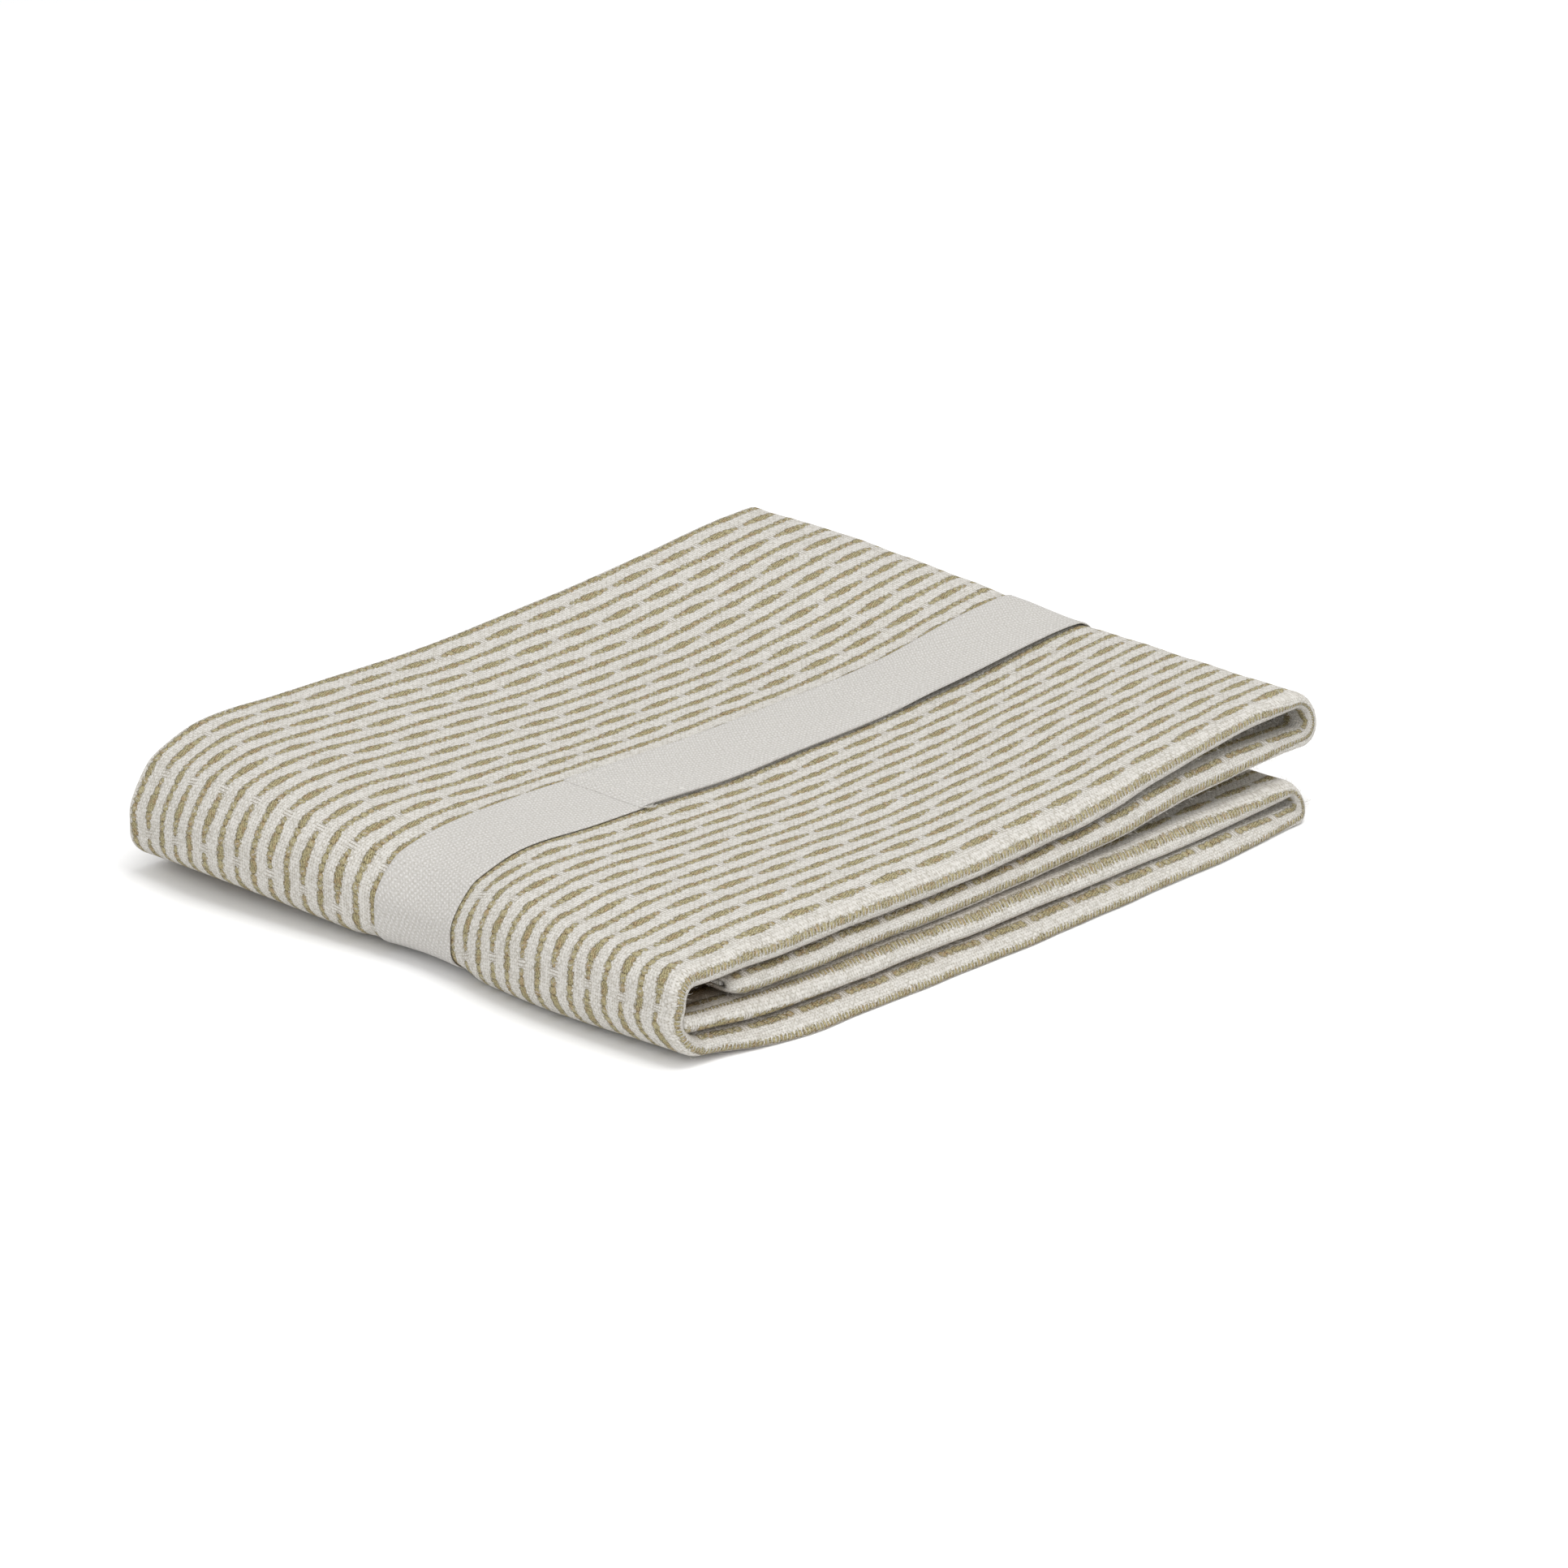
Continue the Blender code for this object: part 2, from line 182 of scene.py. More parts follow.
@dataclass
class PacketShape:
    """The fold path, the strip's section and the settling that the cloth and its band share."""

    cloth_thickness: float = 1.4 * MM
    ply_pitch: float = 1.75 * MM
    front_fold_y: float = 2.4 * MM
    strip_depth: float = 170.0 * MM
    inner_flap_gap: float = 1.2 * MM
    outer_flap_gap: float = 2.0 * MM
    upper_hem_x: float = 9.4 * MM
    lower_hem_x: float = -5.4 * MM
    big_fold_x: float = -1.4 * MM
    big_fold_bend: float = 5.6 * MM
    upper_loop_x: float = 204.9 * MM
    lower_loop_x: float = 196.5 * MM
    # x, the middle heights of the lower, upper and top layers, and how tight each is drawn
    section: tuple = (
        (-2.0, 8.05, 13.60, 19.15, 1.00, 1.00, 1.00),
        (100.0, 8.05, 13.60, 19.15, 1.00, 1.00, 1.00),
        (137.0, 8.00, 15.10, 21.10, 1.00, 1.06, 0.98),
        (170.0, 7.60, 17.20, 24.40, 0.94, 1.15, 0.80),
        (205.0, 7.70, 17.40, 26.20, 0.76, 0.86, 0.78),
    )
    # the packet's top: front, near front, quarter, before the band, the band's front and back,
    # after the band, three quarters, back
    tops: Table = Table(
        (0.0, 0.009, 0.035, 0.062, 0.073, 0.095, 0.108, 0.140, 0.172),
        (
            (-11.0, 23.0, 23.0, 22.5, 20.0, 17.5, 18.5, 21.5, 22.0, 20.5),
            (0.0, 21.2, 21.8, 22.7, 23.4, 22.0, 22.4, 24.8, 27.5, 27.5),
            (15.0, 21.2, 22.4, 24.0, 24.8, 24.6, 24.5, 26.0, 29.3, 31.3),
            (45.0, 20.7, 22.4, 23.3, 23.4, 23.9, 24.6, 24.9, 28.0, 31.0),
            (90.0, 20.3, 21.9, 21.7, 21.7, 22.1, 23.0, 23.4, 25.5, 30.1),
            (135.0, 23.0, 23.7, 23.1, 22.5, 22.7, 23.1, 23.3, 25.8, 31.8),
            (164.0, 26.1, 26.1, 25.6, 23.9, 23.7, 24.2, 24.9, 28.5, 33.6),
            (189.0, 28.2, 28.1, 27.4, 26.4, 26.4, 28.1, 28.8, 32.4, 36.0),
            (205.0, 28.4, 28.2, 27.7, 27.5, 27.3, 29.2, 30.4, 33.4, 36.4),
        ),
    )
    # y, how far the big fold and the loops lie pushed along, and how far the fold lifts off the table
    outline: tuple = (
        (0.0, 0.1, 1.7, 1.8),
        (38.0, 0.3, 4.9, 1.0),
        (60.0, 3.0, 6.8, 0.4),
        (71.0, 5.4, 7.3, 0.0),
        (84.0, 6.7, 7.5, 0.0),
        (97.0, 5.8, 7.8, 0.0),
        (106.0, 4.9, 8.0, 1.5),
        (128.0, 3.6, 7.4, 3.2),
        (150.0, 2.8, 6.2, 4.4),
        (172.0, 5.0, 2.7, 3.4),
    )
    # how far each level has slipped to the front: underside, bottom, lower, upper, top
    slips: Table = Table(
        (0.0, 0.125, 0.38, 0.615, 1.0),
        (
            (-4.0, -2.0, -2.0, 0.0, -0.6, 0.0),
            (12.0, -6.8, -4.6, -2.2, -1.2, 0.0),
            (26.0, -9.8, -6.6, -3.4, -1.6, 0.0),
            (45.0, -10.4, -7.4, -3.9, -1.5, 0.0),
            (100.0, -11.9, -9.2, -4.8, -2.4, 0.0),
            (137.0, -11.4, -9.2, -5.0, -3.3, 0.0),
            (170.0, -11.0, -8.4, -3.8, -2.4, 0.0),
            (205.0, -8.4, -6.6, -3.6, -2.4, 0.0),
        ),
    )
    slip_reach: float = 60.0 * MM
    fold_push_reach: float = 42.0 * MM
    loop_push_start: float = 150.0 * MM
    loop_push_full: float = 200.0 * MM
    fold_lift_reach: float = 22.0 * MM
    band_y: float = 84.0 * MM
    trough_depth: float = 1.72 * MM
    trough_flat: float = 13.0 * MM
    trough_edge: float = 22.0 * MM
    ripple_x: float = 7.3 * MM
    ripple_y: float = 5.9 * MM
    ripple_height: float = 0.16 * MM
    edge_stray: float = 0.14 * MM
    middle_x: float = 105.72 * MM
    middle_y: float = 81.77 * MM

    @property
    def strip_half(self) -> float:
        """Half the thickness of the strip's three plies."""
        return self.ply_pitch + self.cloth_thickness / 2

    def read_section(self, layer: Layer, x: Any, drawn: bool) -> np.ndarray:
        """A layer's draw at x, or the height of its middle line in metres."""
        table = np.array(self.section)
        column = (Layer.LOWER, Layer.UPPER, Layer.TOP).index(layer) + 1
        values = table[:, column + 3] if drawn else table[:, column] * MM
        return smooth_curve(x, table[:, 0] * MM, values)

    def draw(self, layer: Layer, x: Any) -> np.ndarray:
        """The strip's thickness in one layer at x, as a share of its full thickness."""
        return self.read_section(Layer.LOWER if layer is Layer.BOTTOM else layer, x, True)

    def height(self, layer: Layer, x: Any) -> np.ndarray:
        """Height of the strip's middle line in one layer at x, before the packet settles."""
        if layer is Layer.BOTTOM:
            return self.strip_half * self.draw(layer, x)
        return self.read_section(layer, x, False)

    def run(self, layer: Layer, start_x: float, end_x: float, steps: int,
            dense: float = 0.0) -> np.ndarray:
        """Points of the middle line along one layer.

        Args:
            layer: The layer that it follows.
            start_x: Where the run starts.
            end_x: Where it ends.
            steps: The number of steps.
            dense: How much closer they stand at the start, or at the end where it is negative.

        Returns:
            Rows of x, z and draw.
        """
        share = np.linspace(0.0, 1.0, steps + 1)
        share = share ** (1.0 + dense) if dense >= 0.0 else 1.0 - (1.0 - share) ** (1.0 - dense)
        x = start_x + (end_x - start_x) * share
        return np.column_stack((x, self.height(layer, x), self.draw(layer, x)))

    def turn(self, points: np.ndarray, start: float, end: float) -> np.ndarray:
        """Give a turn its draw, eased from one end to the other."""
        share = smooth_step(np.linspace(0.0, 1.0, len(points)), 0.0, 1.0)
        return np.column_stack((points, start + (end - start) * share))

    def loop(self, x: float, low: Layer, high: Layer, steps: int) -> np.ndarray:
        """The half turn at the open end that joins a layer to the one above it."""
        bottom, top = float(self.height(low, x)), float(self.height(high, x))
        points = bend((x, (bottom + top) / 2), (top - bottom) / 2, -90, 90, steps)
        return self.turn(points, float(self.draw(low, x)), float(self.draw(high, x)))

    def big_fold(self, steps: int) -> np.ndarray:
        """The big round fold that joins the top layer to the bottom one."""
        x, radius = self.big_fold_x, self.big_fold_bend
        top = float(self.height(Layer.TOP, x)) - radius
        low = float(self.height(Layer.BOTTOM, x)) + radius
        side = np.column_stack((np.full(steps + 1, x - radius), np.linspace(top, low, steps + 1)))
        points = join_runs((bend((x, top), radius, 90, 180, steps), side,
                            bend((x, low), radius, 180, 270, steps)))
        return self.turn(points, float(self.draw(Layer.TOP, x)), float(self.draw(Layer.BOTTOM, x)))

    def settle(self, points: np.ndarray) -> np.ndarray:
        """Give the evenly folded packet its real height and outline.

        Args:
            points: Rows or a grid of x, y and z in the evenly folded packet.

        Returns:
            The same points in the frame of the solids.
        """
        x, y, z = points.reshape(-1, 3).T
        top = self.height(Layer.TOP, x) + self.strip_half * self.draw(Layer.TOP, x)
        level = np.clip(z / top, 0.0, 1.0)
        y = y + self.slips.value(x, level) * (1.0 - smooth_step(y, 0.0, self.slip_reach))
        outline = np.array(self.outline) * MM
        fold_push, loop_push, lift = (smooth_curve(y, outline[:, 0], column)
                                      for column in outline[:, 1:].T)
        beside = smooth_step(np.abs(y - self.band_y), self.trough_flat, self.trough_edge)
        lifted = 1.0 - smooth_step(x, -self.fold_lift_reach / 2, self.fold_lift_reach)
        underside = self.trough_depth * (1.0 - beside) + np.maximum(lift, 0.0) * lifted
        inside = level * (self.tops.value(x, y) - underside)
        # small waves of uneven length, so that none of them repeats
        along = x / self.ripple_x
        ripple = np.sin(along + 2.1 * np.sin(y / self.ripple_y)) * np.cos(y / self.ripple_y + 0.8)
        inside = inside + level * self.ripple_height * ripple
        stray = np.sin(along * 1.3 + 8.0 * level) + 0.6 * np.sin(along * 2.7 - 5.0 * level)
        y = y + self.edge_stray * stray * (1.0 - smooth_step(y, 0.0, 3.0 * self.ripple_y))
        new_z = underside + inside + np.minimum(z, 0.0) + np.maximum(z - top, 0.0)
        new_x = (x + fold_push * (1.0 - smooth_step(x, 0.0, self.fold_push_reach))
                 + loop_push * smooth_step(x, self.loop_push_start, self.loop_push_full))
        settled = np.column_stack((new_x - self.middle_x, y - self.middle_y, new_z))
        return settled.reshape(points.shape)


# ---------------------------------------------------------------- small makers

def linked(name: str, data: Any) -> bpy.types.Object:
    """Make an object of some data and link it to the scene."""
    made = bpy.data.objects.new(name, data)
    bpy.context.scene.collection.objects.link(made)
    return made


def point_shares(data: bpy.types.Mesh, name: str, shares: np.ndarray) -> None:
    """Give a mesh a share from 0 to 1 for each of its points."""
    data.attributes.new(name, "FLOAT", "POINT").data.foreach_set("value", shares)


def sheet_object(name: str, right: np.ndarray, wrong: np.ndarray,
                 uv: np.ndarray) -> bpy.types.Object:
    """Build a closed sheet between two grids of points.

    Args:
        name: The piece's name.
        right: Points of its right face, by row and column.
        wrong: Points of its wrong face, in the same rows and columns.
        uv: The place of each row and column in the flat cloth, in millimetres.

    Returns:
        The linked object, its faces pointing outwards.
    """
    rows, columns = right.shape[:2]
    count = rows * columns
    index = np.arange(count).reshape(rows, columns)
    quads = np.stack((index[:-1, :-1], index[1:, :-1], index[1:, 1:], index[:-1, 1:]), axis=-1)
    quads = quads.reshape(-1, 4)
    rim = np.concatenate((index[:, 0], index[-1, 1:], index[::-1, -1][1:], index[0, ::-1][1:]))
    side = np.column_stack((rim[:-1], rim[:-1] + count, rim[1:] + count, rim[1:]))
    faces = np.vstack((quads, quads[:, ::-1] + count, side))
    points = np.vstack((right.reshape(-1, 3), wrong.reshape(-1, 3)))
    data = bpy.data.meshes.new(name)
    data.from_pydata(points.tolist(), [], faces.tolist())
    layer = data.uv_layers.new(name="cloth")
    places = np.vstack((uv.reshape(-1, 2), uv.reshape(-1, 2)))
    layer.data.foreach_set("uv", places[faces.ravel()].ravel())
    data.shade_smooth()
    data.validate()
    sheet = linked(name, data)
    outward(sheet)
    return sheet


def outward(piece: bpy.types.Object) -> None:
    """Turn a closed mesh's faces outwards."""
    mesh = bmesh.new()
    mesh.from_mesh(piece.data)
    bmesh.ops.recalc_face_normals(mesh, faces=mesh.faces)
    mesh.to_mesh(piece.data)
    mesh.free()


def linear(hex_color: str) -> tuple:
    """Turn an sRGB hex colour to linear, with alpha 1."""
    channels = [int(hex_color[place:place + 2], 16) / 255 for place in (1, 3, 5)]
    return tuple(c / 12.92 if c <= 0.04045 else ((c + 0.055) / 1.055) ** 2.4 for c in channels) + (1.0, )


def add_node(tree: bpy.types.NodeTree, kind: str, *inputs: Any, named: Optional[dict] = None,
             **settings: Any) -> bpy.types.Node:
    """Add one node with its settings and inputs.

    Args:
        tree: The tree that it goes to.
        kind: The node's type, a shader's where it names no other family, and its operation after
            a colon; an operation alone is the Math node's.
        inputs: Values for its first inputs, in order; a node stands for its first output.
        named: More inputs, by their names.
        settings: The node's own properties.

    Returns:
        The new node.
    """
    kind, _, operation = ("Math:" + kind if kind.isupper() else kind).partition(":")
    node = tree.nodes.new(kind if "Node" in kind else "ShaderNode" + kind)
    if operation:
        node.operation = operation
    for name, value in settings.items():
        setattr(node, name, value)
    pairs = list(enumerate(inputs)) + list((named or {}).items())
    for key, value in pairs:
        if value is None:
            continue
        if isinstance(value, bpy.types.Node):
            value = value.outputs[0]
        if isinstance(value, bpy.types.NodeSocket):
            tree.links.new(value, node.inputs[key])
        else:
            node.inputs[key].default_value = value
    return node


def new_material(name: str, constants: dict) -> tuple:
    """Start a material.

    Args:
        name: Its name.
        constants: What is the same all over it, by the name of the shader's socket.

    Returns:
        The material, its tree and its Principled shader.
    """
    material = bpy.data.materials.new(name)
    material.use_nodes = True
    shader = material.node_tree.nodes["Principled BSDF"]
    for socket, value in constants.items():
        shader.inputs[socket].default_value = value
    return material, material.node_tree, shader


# ---------------------------------------------------------------- finishes

@dataclass(frozen=True)
class StripedCotton:
    """Cotton in white plain weave with rows of a coarse, softly twisted khaki yarn.

    The khaki yarn stands a little proud of the white ground. Where the ground's threads tie it
    down it shows as a chain of round beads with a shaded nick between them, each about 2 mm long,
    and a white thread on its middle. It lies free in the middle of each dash, and on the lines
    beside the gaps between dashes, and there it swells and shows its strands. The shade in the
    nicks, between the strands and in the pits of the ground is painted into the colour.
    """

    white: str = "#cfccc6"
    # painted shade in the pits between the ground's threads, also the dark end of its uneven tone
    white_shade_and_dark_tone: str = "#8f8879"
    khaki_light: str = "#bab088"
    khaki_warm: str = "#b59f79"
    # painted shade in the yarn's nicks and between its strands, also the dark end of its uneven tone
    khaki_shade_and_dark_tone: str = "#4f4120"
    # painted shade: the brown that is multiplied in where cloth lies on cloth
    painted_gap_shade: str = "#a98f6a"
    row_pitch_mm: float = 5.04
    dash_pitch_mm: float = 15.0
    gap_half_mm: float = 1.1
    line_float_mm: float = 1.8
    line_beads: int = 5
    dash_float_mm: float = 5.35
    dash_beads: int = 4
    dash_threads: int = 19
    row_threads: int = 7
    # how the threads stray: noise scale for each millimetre, and reach in millimetres
    strays: tuple = ((0.12, 0.9), (0.85, 0.42))
    # the yarn: half its width in a nick, what a bead adds, its width on the folds, its strands
    nick_half_mm: float = 0.52
    bead_adds_mm: float = 0.34
    fold_swell: float = 1.1
    strand_mm: float = 0.62
    strand_slant: float = -0.42
    relief_mm: float = 0.5

    def build(self) -> bpy.types.Material:
        """Make the material.

        Returns:
            The woven cloth, drawn from the UV map in millimetres.
        """
        # dry spun cotton scatters light widely, with only a trace of sheen from its fibres
        material, tree, shader = new_material("striped_cotton_weave", {
            "Roughness": 0.9, "Specular IOR Level": 0.15, "Sheen Weight": 0.06, "Sheen Roughness": 0.5})
        node = partial(add_node, tree)

        # hand of the weave: threads stray by a few tenths of a millimetre
        flat = node("UVMap", uv_map="cloth")
        place = flat
        for scale, reach in self.strays:
            stray = node("TexNoise", flat, named={"Scale": scale, "Detail": 2.0})
            stray = node("VectorMath:SUBTRACT", stray.outputs["Color"], (0.5, 0.5, 0.5))
            stray = node("VectorMath:MULTIPLY", stray, (reach, reach, 0.0))
            place = node("VectorMath:ADD", place, stray)
        split = node("SeparateXYZ", place)
        along, across = split.outputs["X"], split.outputs["Y"]
        fleck = node("TexNoise", flat, named={"Scale": 2.4, "Detail": 3.0, "Roughness": 0.65})
        tint = node("TexNoise", flat, named={"Scale": 0.5, "Detail": 2.0})

        # which row this is, how far off its middle, and how far from the nearest gap's column
        row = node("ROUND", node("DIVIDE", across, self.row_pitch_mm))
        off = node("MULTIPLY_ADD", row, -self.row_pitch_mm, across)
        off_abs = node("ABSOLUTE", off)
        dashed = node("PINGPONG", row, 1.0)
        column = node("ROUND", node("DIVIDE", along, self.dash_pitch_mm))
        luck = node("TexWhiteNoise", node("CombineXYZ", column, row), noise_dimensions="2D")
        from_gap = node("MULTIPLY_ADD", column, -self.dash_pitch_mm, along)
        from_gap = node("ADD", from_gap, node("MULTIPLY_ADD", luck, 0.8, -0.4))
        gap_abs = node("ABSOLUTE", from_gap)
        fold_row = node("MapRange", node("ABSOLUTE", across), 1.5, 3.5, 1.0, 0.0)

        # beads where the yarn is tied, and one long free float: 1 on their backs, 0 in the nicks
        start = node("Mix", named={0: dashed, 2: self.line_float_mm, 3: self.gap_half_mm})
        line_half = (self.dash_pitch_mm / 2 - self.line_float_mm) / self.line_beads
        dash_half = (self.dash_float_mm - self.gap_half_mm) / self.dash_beads
        bead_half = node("Mix", named={0: dashed, 2: line_half, 3: dash_half})
        bead = node("PINGPONG", node("SUBTRACT", gap_abs, start), bead_half)
        bead = node("DIVIDE", bead, bead_half)
        line_free = node("MapRange", gap_abs, self.line_float_mm - 0.6, self.line_float_mm, 1.0, 0.0)
        dash_free = node("MapRange", gap_abs, self.dash_float_mm, self.dash_float_mm + 0.7)
        free = node("Mix", named={0: dashed, 2: line_free, 3: dash_free})
        tied = node("SUBTRACT", 1.0, free)
        back = node("SUBTRACT", 1.0, node("MAXIMUM", bead, free))
        back = node("SQRT", node("SUBTRACT", 1.0, node("POWER", back, 2.0), use_clamp=True))
        dash_swell = node("MapRange", gap_abs, 0.9, 6.3, 0.74, 1.34, interpolation_type="SMOOTHSTEP")
        swell = node("Mix", named={0: dashed, 2: node("MULTIPLY_ADD", free, 0.16, 1.0), 3: dash_swell})
        # on the noses of the folds the dashes keep an even width
        for on_nose in (node("MapRange", across, -2.0, -4.0), fold_row):
            swell = node("Mix", named={0: on_nose, 2: swell, 3: self.fold_swell})
        half = node("MULTIPLY_ADD", back, self.bead_adds_mm, self.nick_half_mm)
        half = node("MULTIPLY", half, swell)
        uneven = node("TexNoise", flat, named={"Scale": 0.9, "Detail": 2.0, "Roughness": 0.6})
        half = node("ADD", half, node("MULTIPLY_ADD", uneven, 1.1, -0.55))
        present = node("MapRange", gap_abs, self.gap_half_mm - 0.15, self.gap_half_mm + 0.12)
        present = node("MAXIMUM", present, node("SUBTRACT", 1.0, dashed))

        # threads of the ground: a cell for each crossing, each a little different
        thread_u = self.dash_pitch_mm / self.dash_threads
        thread_v = self.row_pitch_mm / self.row_threads
        cell_u, cell_v = node("DIVIDE", along, thread_u), node("DIVIDE", across, thread_v)
        cell = node("CombineXYZ", node("ROUND", cell_u), node("ROUND", cell_v))
        chance = node("TexWhiteNoise", cell, noise_dimensions="2D")
        edge_u = node("ABSOLUTE", node("SINE", node("MULTIPLY", cell_u, math.pi)))
        edge_v = node("ABSOLUTE", node("SINE", node("MULTIPLY", cell_v, math.pi)))
        over = node("MULTIPLY", node("COSINE", node("MULTIPLY", cell_u, math.pi)),
                    node("COSINE", node("MULTIPLY", cell_v, math.pi)))
        pit = node("MULTIPLY", node("POWER", edge_u, 3.0), node("POWER", edge_v, 3.0))
        seam = node("POWER", node("MAXIMUM", edge_u, edge_v), 6.0)

        # the yarn's strands run aslant, and its edge is ragged
        slant = node("MULTIPLY_ADD", fleck, 1.3, off)
        slant = node("MULTIPLY_ADD", along, self.strand_slant, slant)
        strand = node("SINE", node("MULTIPLY", slant, math.tau / self.strand_mm))
        strand = node("MULTIPLY_ADD", strand, 0.5, 0.5)
        ragged = node("MULTIPLY_ADD", fleck, 2.0, node("MULTIPLY_ADD", strand, 0.24, -1.12))
        inside = node("ADD", node("SUBTRACT", half, off_abs), ragged)
        inside = node("MULTIPLY", node("MapRange", inside, -0.20, 0.24), present)

        # the white threads that tie it: a slanted tick on each bead, and a comb on the folded row
        tick_at = node("MULTIPLY_ADD", off, 0.45, gap_abs)
        tick = node("PINGPONG", node("SUBTRACT", tick_at, start), bead_half)
        tick = node("MapRange", node("DIVIDE", tick, bead_half), 0.72, 0.95)
        tick = node("MULTIPLY", tick, node("MapRange", off_abs, 0.25, 0.6, 1.0, 0.0))
        lucky = node("TexWhiteNoise", node("ROUND", node("DIVIDE", along, line_half * 2.0)),
                     noise_dimensions="2D")
        tick = node("MULTIPLY", tick, node("MapRange", lucky, 0.15, 0.6, 0.1, 0.75))
        comb = node("PINGPONG", node("MULTIPLY_ADD", off, -0.25, along), thread_u * 0.66)
        comb = node("MapRange", comb, thread_u * 0.34, thread_u * 0.52)
        comb = node("MULTIPLY", comb, node("MapRange", off, -0.2, 0.7, 1.0, 0.25))
        tick = node("MULTIPLY", node("Mix", named={0: fold_row, 2: tick, 3: comb}),
                    node("MAXIMUM", tied, node("MULTIPLY", fold_row, 0.5)))
        khaki = node("MULTIPLY", inside, node("SUBTRACT", 1.0, tick))
        # the hem's end is turned in white
        hem = node("Attribute", attribute_name="hem")
        khaki = node("MULTIPLY", khaki, node("SUBTRACT", 1.0, hem.outputs["Fac"]))

        # colours: painted shade, dark in the nicks and between the strands and light on the
        # beads' backs, with flecks of uneven tone
        depth = node("MULTIPLY_ADD", node("SUBTRACT", 1.0, back), 0.7, 0.08)
        furrow = node("MULTIPLY_ADD", strand, -0.6, 0.34)
        furrow = node("MULTIPLY", furrow, node("MULTIPLY_ADD", free, 0.5, 0.5))
        depth = node("ADD", depth, furrow)
        depth = node("ADD", depth, node("MULTIPLY_ADD", fleck, 2.6, -1.3))
        depth = node("MULTIPLY_ADD", free, 0.2, depth, use_clamp=True)
        tint = node("MapRange", tint, 0.48, 0.66)
        light = node("Mix", data_type="RGBA", named={
            0: tint, 6: linear(self.khaki_light), 7: linear(self.khaki_warm)})
        yarn = node("Mix", data_type="RGBA", named={
            0: depth, 6: light.outputs[2], 7: linear(self.khaki_shade_and_dark_tone)})
        # painted shade in the pits between crossing threads, lighter where a thread lies on top, with
        # tone that differs from cell to cell
        painted_shade_and_tone = node("MULTIPLY_ADD", pit, 0.42, node("MULTIPLY_ADD", over, -0.16, 0.05))
        painted_shade_and_tone = node("ADD", painted_shade_and_tone, node("MULTIPLY_ADD", chance, 0.4, -0.16))
        painted_shade_and_tone = node("ADD", painted_shade_and_tone, node("MULTIPLY_ADD", fleck, 1.7, -0.8), use_clamp=True)
        # in the gap of a dash, thin shadows stand between the white threads
        slots = node("SINE", node("MULTIPLY", node("DIVIDE", from_gap, thread_u), math.pi))
        slots = node("MapRange", node("ABSOLUTE", slots), 0.2, 0.5, 1.0, 0.0)
        slots = node("MULTIPLY", slots, node("MapRange", gap_abs, 0.9, 1.3, 1.0, 0.0))
        slots = node("MULTIPLY", slots, node("MapRange", off_abs, 1.1, 1.6, 1.0, 0.0))
        painted_shade_and_tone = node("MAXIMUM", painted_shade_and_tone, node("MULTIPLY", slots, dashed))
        ground = node("Mix", data_type="RGBA", named={
            0: painted_shade_and_tone, 6: linear(self.white), 7: linear(self.white_shade_and_dark_tone)})
        color = node("Mix", data_type="RGBA", named={0: khaki, 6: ground.outputs[2], 7: yarn.outputs[2]})
        # painted shade: a brown shade is multiplied in where cloth lies on cloth, between the layers
        painted_gap_shade = node("Attribute", attribute_name="painted_gap_shade")
        color = node("Mix", data_type="RGBA", blend_type="MULTIPLY", named={
            0: painted_gap_shade.outputs["Fac"], 6: color.outputs[2], 7: linear(self.painted_gap_shade)})

        # relief in millimetres
        crown = node("POWER", node("DIVIDE", off_abs, half), 2.0)
        crown = node("SUBTRACT", 1.0, crown, use_clamp=True)
        raised = node("MULTIPLY", node("SQRT", crown), node("MULTIPLY", khaki, self.relief_mm))
        rounded = node("MULTIPLY_ADD", back, 0.6, node("MULTIPLY_ADD", free, 0.2, 0.2))
        raised = node("MULTIPLY", raised, rounded)
        strands = node("MULTIPLY", node("MULTIPLY", strand, khaki), 0.12)
        plain = node("MULTIPLY_ADD", over, 0.05, node("MULTIPLY", seam, -0.03))
        plain = node("MULTIPLY_ADD", pit, -0.10, plain)
        plain = node("MULTIPLY_ADD", fleck, 0.25, plain)
        relief = node("ADD", raised, node("ADD", strands, plain))
        bump = node("Bump", named={"Strength": 1.0, "Distance": MM, "Height": relief})

        tree.links.new(color.outputs[2], shader.inputs["Base Color"])
        tree.links.new(bump.outputs["Normal"], shader.inputs["Normal"])
        return material


